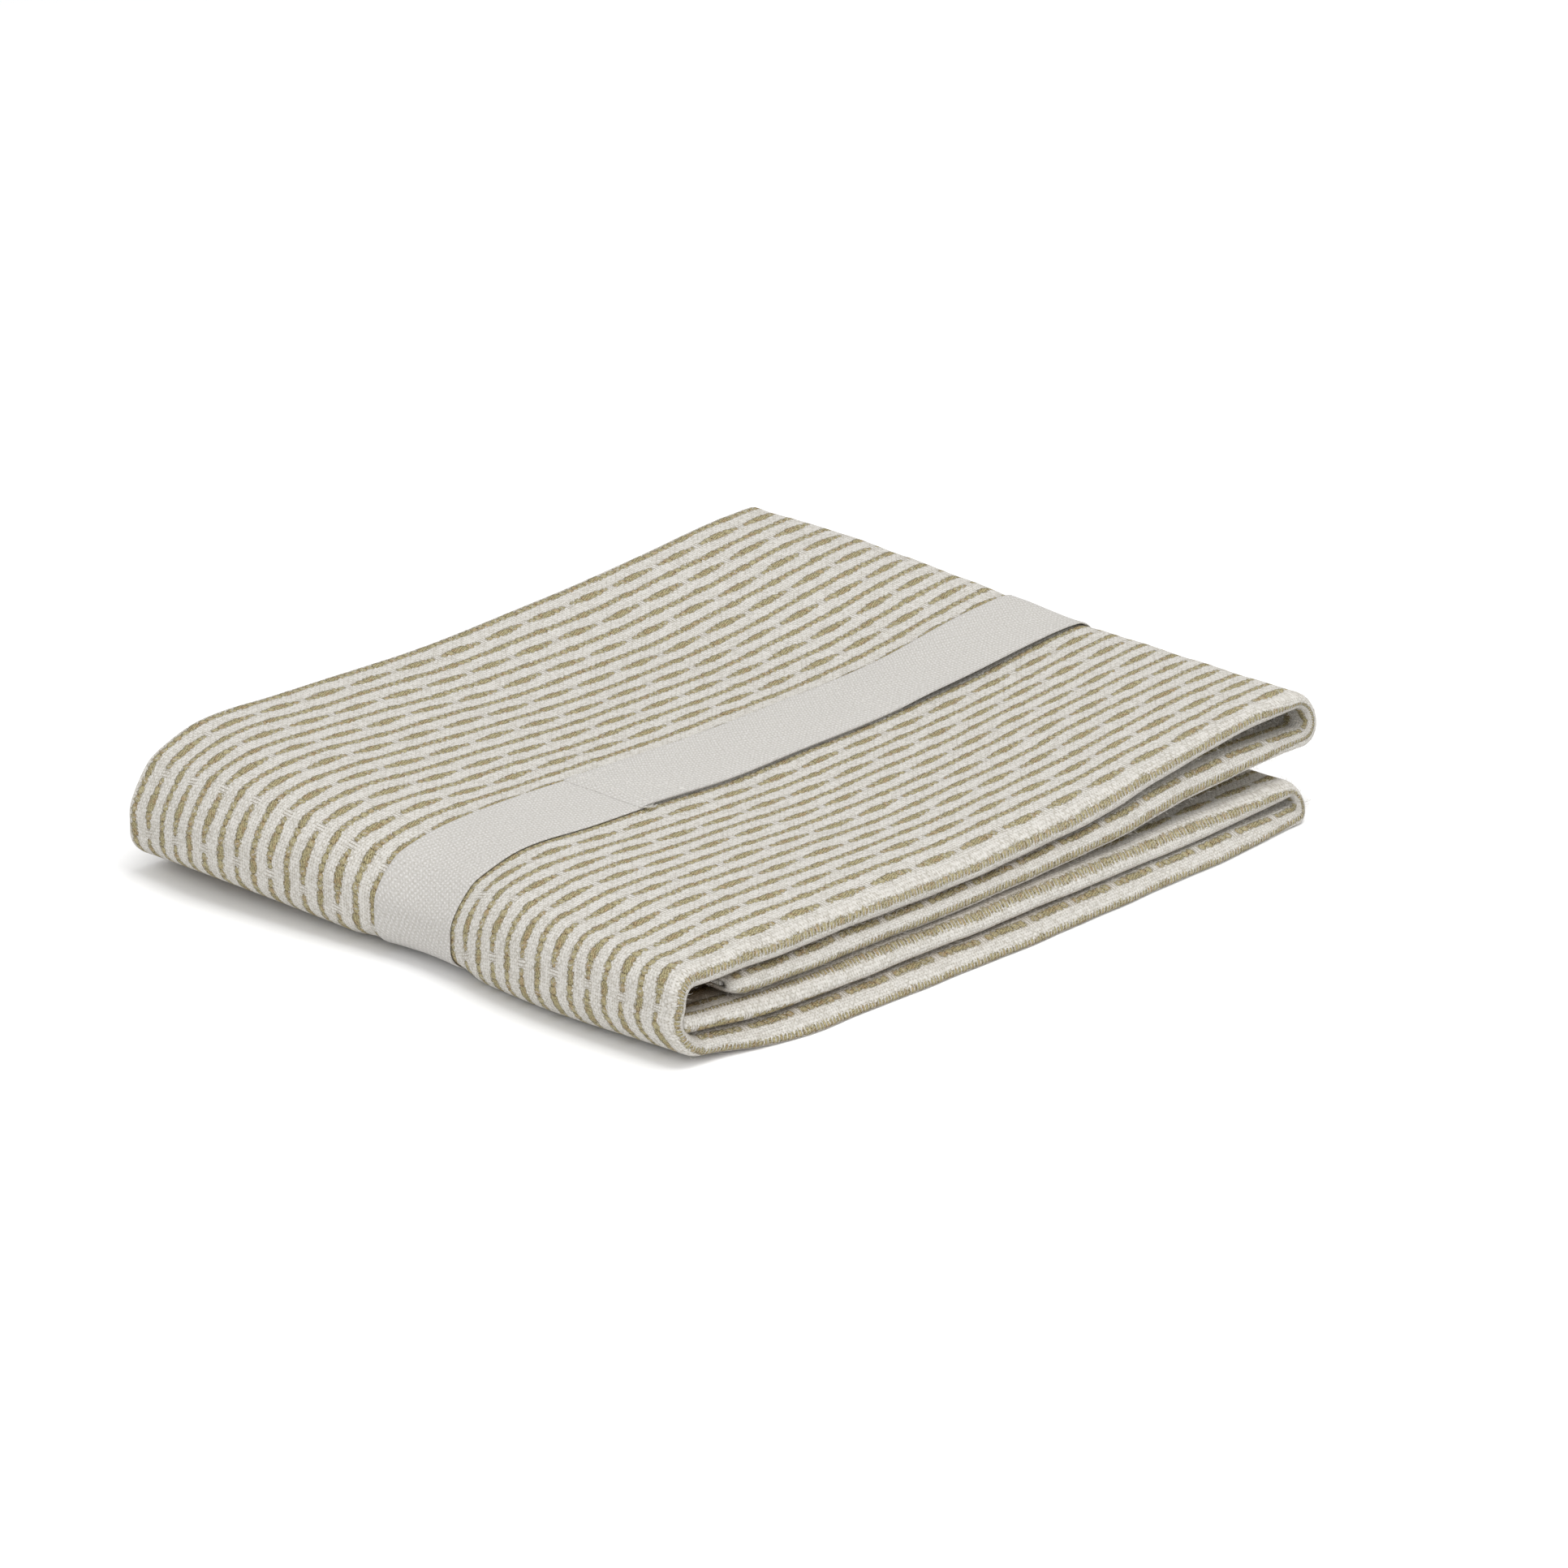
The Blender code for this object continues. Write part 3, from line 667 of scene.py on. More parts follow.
@dataclass(frozen=True)
class CottonWebbing:
    """Undyed cotton webbing, woven tight in a fine rib: matte, a little greyer than the cloth."""

    cotton: str = "#cdcbc8"
    # painted shade in the furrows between the threads, also the dark end of its uneven tone
    cotton_shade_and_dark_tone: str = "#a19d96"
    # two slanted sets of furrows: their pitch, and how far each leans
    thread_mm: tuple = (0.92, 1.3)
    lean: tuple = (0.45, -0.4)
    relief_mm: float = 0.12

    def build(self) -> bpy.types.Material:
        """Make the material.

        Returns:
            The webbing's weave, drawn from the UV map in millimetres.
        """
        material, tree, shader = new_material("cotton_webbing_weave", {
            "Roughness": 0.88, "Specular IOR Level": 0.15, "Sheen Weight": 0.06})
        node = partial(add_node, tree)
        flat = node("UVMap", uv_map="cloth")
        stray = node("TexNoise", flat, named={"Scale": 0.9, "Detail": 2.0})
        stray = node("VectorMath:SUBTRACT", stray.outputs["Color"], (0.5, 0.5, 0.5))
        stray = node("VectorMath:MULTIPLY", stray, (0.6, 0.5, 0.0))
        split = node("SeparateXYZ", node("VectorMath:ADD", flat, stray))
        # the real threads are under half as wide: drawn coarser, so that their light backs still
        # show as dots from a step away; they tilt a little, and the dots stand in slanted lines
        one = node("MULTIPLY_ADD", split.outputs["Y"], self.lean[0], split.outputs["X"])
        two = node("MULTIPLY_ADD", split.outputs["X"], self.lean[1], split.outputs["Y"])
        one, two = (node("ABSOLUTE", node("SINE", node("MULTIPLY", line, math.pi / pitch)))
                    for line, pitch in zip((one, two), self.thread_mm))
        dots = node("POWER", node("MULTIPLY", one, two), 3.0)
        fleck = node("TexNoise", flat, named={"Scale": 1.8, "Detail": 3.0, "Roughness": 0.6})
        # painted shade in the furrows between the threads' light backs, with flecks of uneven tone
        painted_shade_and_tone = node("MULTIPLY_ADD", dots, -0.66, 0.54)
        painted_shade_and_tone = node("ADD", painted_shade_and_tone, node("MULTIPLY_ADD", fleck, 1.6, -0.75), use_clamp=True)
        color = node("Mix", data_type="RGBA", named={
            0: painted_shade_and_tone, 6: linear(self.cotton), 7: linear(self.cotton_shade_and_dark_tone)})
        height = node("MULTIPLY", fleck, 0.2)
        height = node("MULTIPLY_ADD", dots, self.relief_mm, height)
        bump = node("Bump", named={"Strength": 1.0, "Distance": MM, "Height": height})
        tree.links.new(color.outputs[2], shader.inputs["Base Color"])
        tree.links.new(bump.outputs["Normal"], shader.inputs["Normal"])
        return material


# ---------------------------------------------------------------- the cloth

@dataclass
class TeaTowel:
    """The towel: one cloth in three plies across and four layers along."""

    shape: PacketShape
    finish: StripedCotton = field(default_factory=StripedCotton)
    top_steps: int = 96
    hidden_steps: int = 44
    loop_steps: int = 14
    fold_steps: int = 9
    wide_steps: int = 72
    flap_steps: int = 22
    edge_steps: int = 8
    flat_size: tuple = (0.53, 0.87)
    first_line_y: float = 0.05 * MM
    # the upper hem's front corner: how far it rounds off, closes and draws back
    hem_round: float = 4.2 * MM
    hem_close: float = 0.5
    hem_back: float = 2.2 * MM
    hem_rows: int = 3
    # the painted shade between layers: its least share at the front, how far in it is full, and
    # where along x the layers stand apart, with the share of it that goes there
    painted_gap_shade_front: float = 0.35
    painted_gap_shade_depth: float = 8.0 * MM
    apart_x: tuple = (100.0 * MM, 155.0 * MM)
    apart_light: float = 0.9
    # towards the open end the pattern lies a little further along, more so at the back
    pattern_pull: float = 2.2 * MM
    pull_x: tuple = (150.0 * MM, 210.0 * MM)
    pull_y: tuple = (20.0 * MM, 80.0 * MM)
    # how many millimetres the pattern turns with each layer's front and back fold, at stations along x
    fold_turns: dict = field(default_factory=lambda: {
        Layer.UPPER: ((50.0, 95.0, 190.0, 207.0), (0.0, 0.9, 0.9, 3.0), (0.8, 0.8, 0.8, 0.8)),
        Layer.TOP: ((-8.0, 190.0, 207.0), (0.9, 0.9, 3.0), (0.0, 0.0, 0.0)),
        Layer.BOTTOM: ((0.0, 185.0, 200.0), (0.0, 0.0, 2.2), (1.2, 1.2, 1.2)),
        Layer.LOWER: ((8.0, 40.0, 90.0, 150.0, 185.0, 200.0), (-2.4, -0.9, 0.0, 0.2, 1.4, 2.2),
                      (1.7, 0.3, 0.0, 0.0, 0.0, 0.0)),
    })

    def layer_rows(self) -> list:
        """The four layers with the first row of each and the row after its last, turns shared out."""
        top = self.hidden_steps + self.loop_steps // 2
        bottom = self.hidden_steps + self.loop_steps + self.top_steps + 3 * self.fold_steps
        lower = bottom + self.hidden_steps + self.loop_steps // 2
        return [(Layer.UPPER, 0, top), (Layer.TOP, top, bottom), (Layer.BOTTOM, bottom, lower),
                (Layer.LOWER, lower, None)]

    def path(self) -> np.ndarray:
        """The strip's middle line from hem to hem, as rows of x, z and draw."""
        s = self.shape
        runs = (
            s.run(Layer.UPPER, s.upper_hem_x, s.upper_loop_x, self.hidden_steps, 0.7),
            s.loop(s.upper_loop_x, Layer.UPPER, Layer.TOP, self.loop_steps),
            s.run(Layer.TOP, s.upper_loop_x, s.big_fold_x, self.top_steps),
            s.big_fold(self.fold_steps),
            s.run(Layer.BOTTOM, s.big_fold_x, s.lower_loop_x, self.hidden_steps),
            s.loop(s.lower_loop_x, Layer.BOTTOM, Layer.LOWER, self.loop_steps),
            s.run(Layer.LOWER, s.lower_loop_x, s.lower_hem_x, self.hidden_steps, -0.7),
        )
        return join_runs(runs)

    def section(self) -> np.ndarray:
        """The three plies, as rows of y, distance from the strip's middle and place across the cloth."""
        s = self.shape
        front, back = s.front_fold_y, s.front_fold_y + s.strip_depth
        pitch = s.ply_pitch
        inner_y = np.linspace(front + s.inner_flap_gap, back, self.flap_steps + 1)
        inner = np.column_stack((inner_y, np.zeros(len(inner_y))))
        turn = bend((back, pitch / 2), pitch / 2, -90, 90, self.edge_steps)
        wide_y = np.linspace(back, front, self.wide_steps + 1)
        wide = np.column_stack((wide_y, np.full(len(wide_y), pitch)))
        nose = bend((front, 0.0), pitch, 90, 270, self.edge_steps + 2)
        under_y = np.linspace(front, back - s.outer_flap_gap, self.wide_steps // 2 + 1)
        under = np.column_stack((under_y, np.full(len(under_y), -pitch)))
        line = join_runs((inner, turn, wide, nose, under))
        return np.column_stack((line, self.places(line)))

    def places(self, line: np.ndarray) -> np.ndarray:
        """Place of each point of the section across the flat cloth, 0 on the first line of yarn.

        Args:
            line: The section's rows of y and distance from the middle.

        Returns:
            The places in metres, rising over the middle ply from front to back.
        """
        length = travelled(line)
        first = self.flap_steps + self.edge_steps
        last = first + self.wide_steps
        nose = last + self.edge_steps + 2
        place = np.empty(len(line))
        place[first:last + 1] = line[first:last + 1, 0] - self.first_line_y
        place[:first] = place[first] + length[first] - length[:first]
        around = np.linspace(0.0, 1.0, nose - last + 1)
        place[last:nose + 1] = place[last] - around * math.pi * self.shape.strip_half
        place[nose:] = place[nose] - (length[nose:] - length[nose])
        return place

    def grid(self, face: Face) -> np.ndarray:
        """Settled points of one face of the cloth, by row along the path and column across it."""
        s = self.shape
        path = self.path()
        normals = outward_normals(path)
        section = self.section()
        line = section[:, :2] + face.value * s.cloth_thickness / 2 * outward_normals(section)
        length = travelled(path[:, :2])
        open_share = smooth_step(length, -0.5 * self.hem_round, self.hem_round)
        closed = self.hem_close + (1.0 - self.hem_close) * open_share
        reach = path[:, 2:3] * closed[:, None] * line[None, :, 1]
        x = path[:, None, 0] + reach * normals[:, None, 0]
        z = np.maximum(path[:, None, 1] + reach * normals[:, None, 1], 0.0)
        corner = 1.0 - np.clip(length / self.hem_round, 0.0, 1.0)
        drawn_back = self.hem_back * (1.0 - np.sqrt(1.0 - corner ** 2))
        near_front = 1.0 - smooth_step(line[:, 0], 0.0, 4.0 * self.hem_back)
        y = line[None, :, 0] + drawn_back[:, None] * near_front[None, :]
        return s.settle(np.stack((x, y, z), axis=-1))

    def cloth_places(self, right: np.ndarray) -> np.ndarray:
        """Place of each grid point in the flat cloth, along and across the stripes, in millimetres."""
        rows, columns = right.shape[:2]
        start = self.hidden_steps + self.loop_steps
        end = start + self.top_steps
        length = travelled(right)
        along = np.empty((rows, columns))
        x = right[start:end + 1, :, 0] + self.shape.middle_x
        y = right[start:end + 1, :, 1] + self.shape.middle_y
        pulled = smooth_step(x, *self.pull_x) * smooth_step(y, *self.pull_y)
        along[start:end + 1] = x - self.pattern_pull * pulled
        along[:start] = along[start] + length[start] - length[:start]
        along[end + 1:] = along[end] - (length[end + 1:] - length[end])
        along = self.spread_middle_ply(along)
        place = self.section()[:, 2]
        x = self.path()[:, 0] / MM
        front, back = np.zeros(rows), np.zeros(rows)
        for layer, first, last in self.layer_rows():
            stations, front_turn, back_turn = self.fold_turns[layer]
            front[first:last] = np.interp(x[first:last], stations, front_turn)
            back[first:last] = np.interp(x[first:last], stations, back_turn)
        # shares of the front turn on the nose's upper half, and of the back turn round the rest of it
        on_front = smooth_step(-place, -3.5 * MM, 0.0) * (1.0 - smooth_step(-place, 1.0 * MM, 4.4 * MM))
        on_back = smooth_step(-place, 1.5 * MM, 4.4 * MM)
        turned = on_front[None, :] * front[:, None] - on_back[None, :] * back[:, None]
        return np.stack((along, place[None, :] + turned * MM), axis=-1) / MM

    def painted_gap_shades(self, right: np.ndarray) -> np.ndarray:
        """How much painted shade each grid point gets from cloth that lies close to it, from 0 to 1.

        Args:
            right: Settled points of the right face.

        Returns:
            The painted shade by row and column.
        """
        s = self.shape
        y, level = self.section().T[:2]
        level = level / s.ply_pitch
        # the outer ply lies open on the top layer and round the loops, and shut elsewhere
        top_end = self.hidden_steps + self.loop_steps + self.top_steps + 3 * self.fold_steps
        outer_shut = np.ones(len(right))
        outer_shut[self.hidden_steps:top_end + 1] = 0.0
        outer_shut[top_end + self.hidden_steps + 1:top_end + self.hidden_steps + self.loop_steps] = 0.0
        outer = smooth_step(level, 0.4, 1.1)[None, :] * outer_shut[:, None]
        inner = smooth_step(-level, 0.4, 1.1)[None, :]
        deep = smooth_step(y, s.front_fold_y, s.front_fold_y + self.painted_gap_shade_depth)[None, :]
        deep = self.painted_gap_shade_front + (1.0 - self.painted_gap_shade_front) * deep
        apart = 1.0 - self.apart_light * smooth_step(right[..., 0] + s.middle_x, *self.apart_x)
        return np.maximum(outer, inner) * deep * apart

    def spread_middle_ply(self, along: np.ndarray) -> np.ndarray:
        """Give each ply the middle ply's places along the cloth, read at the same y.

        Args:
            along: Places by row and column, right on the middle ply.

        Returns:
            The same grid, right on all plies.
        """
        first = self.flap_steps + self.edge_steps
        wide_y = self.section()[first:first + self.wide_steps + 1, 0]
        column = (wide_y[0] - self.section()[:, 0]) / (wide_y[0] - wide_y[-1]) * self.wide_steps
        column = np.clip(column, 0.0, self.wide_steps - 1e-6)
        left = column.astype(int)
        share = column - left
        return along[:, first + left] * (1.0 - share) + along[:, first + left + 1] * share

    def build(self) -> bpy.types.Object:
        """Make the cloth in place of its solid.

        Returns:
            The finished piece.
        """
        right, wrong = self.grid(Face.RIGHT), self.grid(Face.WRONG)
        towel = sheet_object("towel_cloth", right, wrong, self.cloth_places(right))
        hem = np.zeros(right.shape[:2])
        hem[:self.hem_rows] = 1.0
        # loose fibres grow on the right face of the folded front edges, clear of the floor
        front = self.shape.front_fold_y
        lint = smooth_step(-self.section()[:, 0], -front - 0.5 * MM, -front)
        lint = lint[None, :] * smooth_step(right[..., 2], 1.6 * MM, 3.0 * MM)
        # the painted shade between the layers, as a share for each point of both faces
        point_shares(towel.data, "painted_gap_shade", np.tile(self.painted_gap_shades(right).ravel(), 2))
        point_shares(towel.data, "hem", np.tile(hem.ravel(), 2))
        point_shares(towel.data, "lint", np.append(lint.ravel(), np.zeros(lint.size)))
        towel.data.materials.append(self.finish.build())
        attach(towel, "root")
        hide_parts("towel")
        return towel


# ---------------------------------------------------------------- the band

@dataclass
class WebbingBand:
    """The webbing round the packet, its two ends overlapping on the top."""

    shape: PacketShape
    finish: CottonWebbing = field(default_factory=CottonWebbing)
    middle_y: float = 83.1 * MM
    width: float = 24.0 * MM
    thickness: float = 0.55 * MM
    gap: float = 0.06 * MM
    under_end_x: float = 148.5 * MM
    over_end_x: float = 57.5 * MM
    bridge: float = 1.0 * MM
    clear_end_x: float = 212.0 * MM
    steps_across: int = 16
    layer_steps: int = 80
    loop_steps: int = 16
    fold_steps: int = 8
    leaves_loop: int = 6
    # the upper ply is pressed thin at its end, and the lower one lies a little inside its edges
    pressed_reach: float = 3.0 * MM
    pressed_ply: float = 0.56
    under_inset: float = 0.05
    # shares of the thickness that are left at the rounded edges and at the ends
    thin_edge: float = 0.25
    thin_end: float = 0.08
    crowding: float = 0.94

    def ring(self) -> np.ndarray:
        """The band's middle line once round the packet, from the upper loop to the lower one."""
        s = self.shape
        upper = s.loop(s.upper_loop_x, Layer.UPPER, Layer.TOP, self.loop_steps)
        top = s.run(Layer.TOP, s.upper_loop_x, s.big_fold_x, self.layer_steps)
        path = join_runs((upper, top, s.big_fold(self.fold_steps),
                          s.run(Layer.BOTTOM, s.big_fold_x, s.lower_loop_x, self.layer_steps),
                          s.loop(s.lower_loop_x, Layer.BOTTOM, Layer.LOWER, self.loop_steps)))
        reach = s.strip_half * path[:, 2] + self.gap + self.thickness / 2
        return path[:, :2] + reach[:, None] * outward_normals(path)

    def over(self) -> np.ndarray:
        """The upper ply of the overlap, from the loop to the end that is pressed flat and sewn."""
        top_end = self.loop_steps + self.layer_steps
        line = self.cut(self.ring()[self.leaves_loop:top_end + 1], self.over_end_x)
        pressed = smooth_step(line[:, 0], self.over_end_x, self.over_end_x + self.pressed_reach)
        ply = self.thickness * (self.pressed_ply + (1.0 - self.pressed_ply) * pressed)
        ply += 0.5 * self.gap * pressed
        line[:, 1] += ply * (1.0 - smooth_step(line[:, 0], self.under_end_x, self.shape.upper_loop_x))
        return line

    def line(self) -> np.ndarray:
        """The band's middle line, from its end under the overlap round to its end on top."""
        ring = self.ring()
        top_end = self.loop_steps + self.layer_steps
        lower_leave = len(ring) - 1 - self.loop_steps + self.leaves_loop
        under = self.cut(ring[self.loop_steps:top_end + 1][::-1], self.under_end_x)[::-1]
        return np.vstack((under, ring[top_end + 1:lower_leave + 1], self.over()))

    def under_rows(self) -> int:
        """How many rows of the line lie under the overlap."""
        line = self.line()[:self.layer_steps]
        return int(np.sum(line[:, 0] > self.over_end_x + 1.0 * MM))

    def lift(self, x: np.ndarray, y: np.ndarray) -> np.ndarray:
        """How far the upper ply stands clear of the cloth past the overlap, most at its front edge."""
        share = np.clip((x - self.under_end_x) / (self.clear_end_x - self.under_end_x), 0.0, 1.0)
        return 4.0 * self.bridge * share * (1.0 - share) * (0.5 - (y - self.middle_y) / self.width)

    def on_top(self, places: Sequence[tuple]) -> np.ndarray:
        """Settled points on the upper ply.

        Args:
            places: Pairs of x and y in the evenly folded packet, in millimetres.

        Returns:
            One row for each pair.
        """
        x, y = np.array(places).T * MM
        over = self.over()[::-1]
        over = over[:np.argmax(over[:, 0]) + 1]
        z = np.interp(x, over[:, 0], over[:, 1]) + self.thickness / 2 + self.lift(x, y)
        return self.shape.settle(np.column_stack((x, y, z)))

    def cut(self, run: np.ndarray, end_x: float) -> np.ndarray:
        """The part of a run before it reaches end_x, with a last point there."""
        rising = run[-1, 0] > run[0, 0]
        kept = run[run[:, 0] < end_x] if rising else run[run[:, 0] > end_x]
        order = 1 if rising else -1
        return np.vstack((kept, (end_x, np.interp(end_x, run[::order, 0], run[::order, 1]))))

    def grid(self, face: Face) -> np.ndarray:
        """Settled points of one face of the band, thinner along its edges and at its pressed end."""
        line = self.line()
        half = self.width / 2
        # the columns stand closer towards the rounded edges
        last = math.pi / 2 * self.crowding
        across = half * np.sin(np.linspace(-last, last, self.steps_across + 1)) / math.sin(last)
        to_edge = np.clip((half - np.abs(across)) / (0.6 * self.thickness), 0.0, 1.0)
        edge = self.thin_edge + (1.0 - self.thin_edge) * np.sqrt(1.0 - (1.0 - to_edge) ** 2)
        from_end = travelled(line[::-1])[::-1]
        end = self.thin_end + (1.0 - self.thin_end) * smooth_step(from_end, 0.0, self.pressed_reach)
        reach = face.value * self.thickness / 2 * end[:, None] * edge[None, :]
        normals = outward_normals(line)
        x = line[:, :1] + reach * normals[:, :1]
        z = line[:, 1:] + reach * normals[:, 1:]
        narrow = 1.0 - self.under_inset * (np.arange(len(line)) < self.under_rows())
        y = self.middle_y + across[None, :] * narrow[:, None]
        count = len(self.over())
        z[-count:] += self.lift(line[-count:, :1], y[-count:])
        return self.shape.settle(np.stack((x, y, z), axis=-1))

    def build(self) -> bpy.types.Object:
        """Make the band in place of its solid.

        Returns:
            The finished piece.
        """
        right, wrong = self.grid(Face.RIGHT), self.grid(Face.WRONG)
        along = travelled(right)
        across = np.broadcast_to(right[:1, :, 1] - right[:1, :1, 1], along.shape)
        band = sheet_object("webbing_band", right, wrong, np.stack((along, across), axis=-1) / MM)
        band.data.materials.append(self.finish.build())
        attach(band, "root")
        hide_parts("band")
        return band


# ---------------------------------------------------------------- stitches and loose fibres

def new_tree(name: str, **sizes: float) -> tuple:
    """Start a geometry tree with a named input for each of its sizes.

    Args:
        name: The tree's name.
        sizes: The name and value of each size.

    Returns:
        The tree, and its group input node.
    """
    tree = bpy.data.node_groups.new(name, "GeometryNodeTree")
    tree.interface.new_socket("Geometry", in_out="INPUT", socket_type="NodeSocketGeometry")
    tree.interface.new_socket("Geometry", in_out="OUTPUT", socket_type="NodeSocketGeometry")
    for size in sizes:
        tree.interface.new_socket(size, in_out="INPUT", socket_type="NodeSocketFloat")
    return tree, add_node(tree, "NodeGroupInput")


def grown(name: str, base: bpy.types.Mesh, tree: bpy.types.NodeTree,
          **sizes: float) -> bpy.types.Object:
    """Run a geometry tree on a mesh, and keep what it makes as a plain mesh.

    Args:
        name: The new piece's name.
        base: The mesh that the tree works on.
        tree: The tree.
        sizes: The value of each of its named inputs.

    Returns:
        The new linked object.
    """
    carrier = linked(name + "_base", base)
    modifier = carrier.modifiers.new(name, "NODES")
    modifier.node_group = tree
    for item in tree.interface.items_tree:
        if item.name in sizes:
            modifier[item.identifier] = sizes[item.name]
    data = bpy.data.meshes.new_from_object(carrier.evaluated_get(bpy.context.evaluated_depsgraph_get()))
    data.name = name
    bpy.data.objects.remove(carrier)
    piece = linked(name, data)
    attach(piece, "root")
    return piece


@dataclass(frozen=True)
class SoftThread:
    """Undyed spun cotton, matte, with a little lint: sewing thread, frayed ends and loose fibres."""

    name: str
    color: str
    shade: str

    def build(self) -> bpy.types.Material:
        """Make the material, mottled at the scale of the thread."""
        material, tree, shader = new_material(self.name, {"Roughness": 0.9, "Specular IOR Level": 0.15})
        place = add_node(tree, "TexCoord")
        # lumps of about a millimetre, as in loosely spun thread
        mottle = add_node(tree, "TexNoise", place.outputs["Object"],
                          named={"Scale": 900.0, "Detail": 2.0})
        color = add_node(tree, "Mix", data_type="RGBA", named={
            0: mottle, 6: linear(self.color), 7: linear(self.shade)})
        bump = add_node(tree, "Bump", named={"Strength": 0.6, "Distance": 0.1 * MM, "Height": mottle})
        tree.links.new(color.outputs[2], shader.inputs["Base Color"])
        tree.links.new(bump.outputs["Normal"], shader.inputs["Normal"])
        return material


@dataclass
class SewnStitches:
    """The seams that hold the overlap: a box with a cross at the end, and two rows further on."""

    band: WebbingBand
    finish: SoftThread = SoftThread("sewing_thread_cotton", "#dcdad6", "#c4c1bb")
    pitch: float = 2.4 * MM
    length: float = 1.9 * MM
    radius: float = 0.2 * MM
    seam_points: int = 13
    # corners and ends of the seams: x and y in the evenly folded packet, in millimetres
    box: tuple = ((61.2, 73.2), (61.2, 92.6), (73.6, 92.6), (73.6, 73.2))
    rows: tuple = (((144.4, 72.6), (144.4, 93.6)), ((147.2, 93.6), (147.2, 72.6)))

    def seams(self) -> bpy.types.Mesh:
        """The lines of sewing on the band, as a mesh of edges."""
        a, b, c, d = self.box
        lines = [(a, b, c, d, a, c), (b, d)] + list(self.rows)
        points, edges = [], []
        for line in lines:
            for start, end in zip(line[:-1], line[1:]):
                share = np.linspace(0.0, 1.0, self.seam_points)[:, None]
                run = self.band.on_top(np.array(start) * (1.0 - share) + np.array(end) * share)
                first = len(points)
                points += run.tolist()
                edges += [(first + step, first + step + 1) for step in range(len(run) - 1)]
        data = bpy.data.meshes.new("seam_lines")
        data.from_pydata(points, edges, [])
        return data

    def build(self) -> bpy.types.Object:
        """Sew the stitches.

        Returns:
            The finished piece.
        """
        sizes = {"Pitch": self.pitch, "Stitch": self.length, "Thread": self.radius}
        tree, given = new_tree("stitches_along_seam", **sizes)
        node = partial(add_node, tree)
        curve = node("GeometryNodeMeshToCurve", given.outputs["Geometry"])
        curve = node("GeometryNodeResampleCurve", curve, mode="LENGTH", named={
            "Length": given.outputs["Pitch"]})
        bead = node("GeometryNodeMeshUVSphere", 6, 4, 0.5)
        thread = given.outputs["Thread"]
        size = node("CombineXYZ", given.outputs["Stitch"], thread, thread)
        bead = node("GeometryNodeTransform", bead, named={"Scale": size})
        tangent = node("GeometryNodeInputTangent")
        turn = node("FunctionNodeAlignRotationToVector", axis="X", named={"Vector": tangent})
        made = node("GeometryNodeInstanceOnPoints", curve, named={"Instance": bead, "Rotation": turn})
        made = node("GeometryNodeSetShadeSmooth", node("GeometryNodeRealizeInstances", made))
        made = node("GeometryNodeSetMaterial", made, named={"Material": self.finish.build()})
        node("NodeGroupOutput", made)
        stitches = grown("overlap_stitches", self.seams(), tree, **sizes)
        return stitches


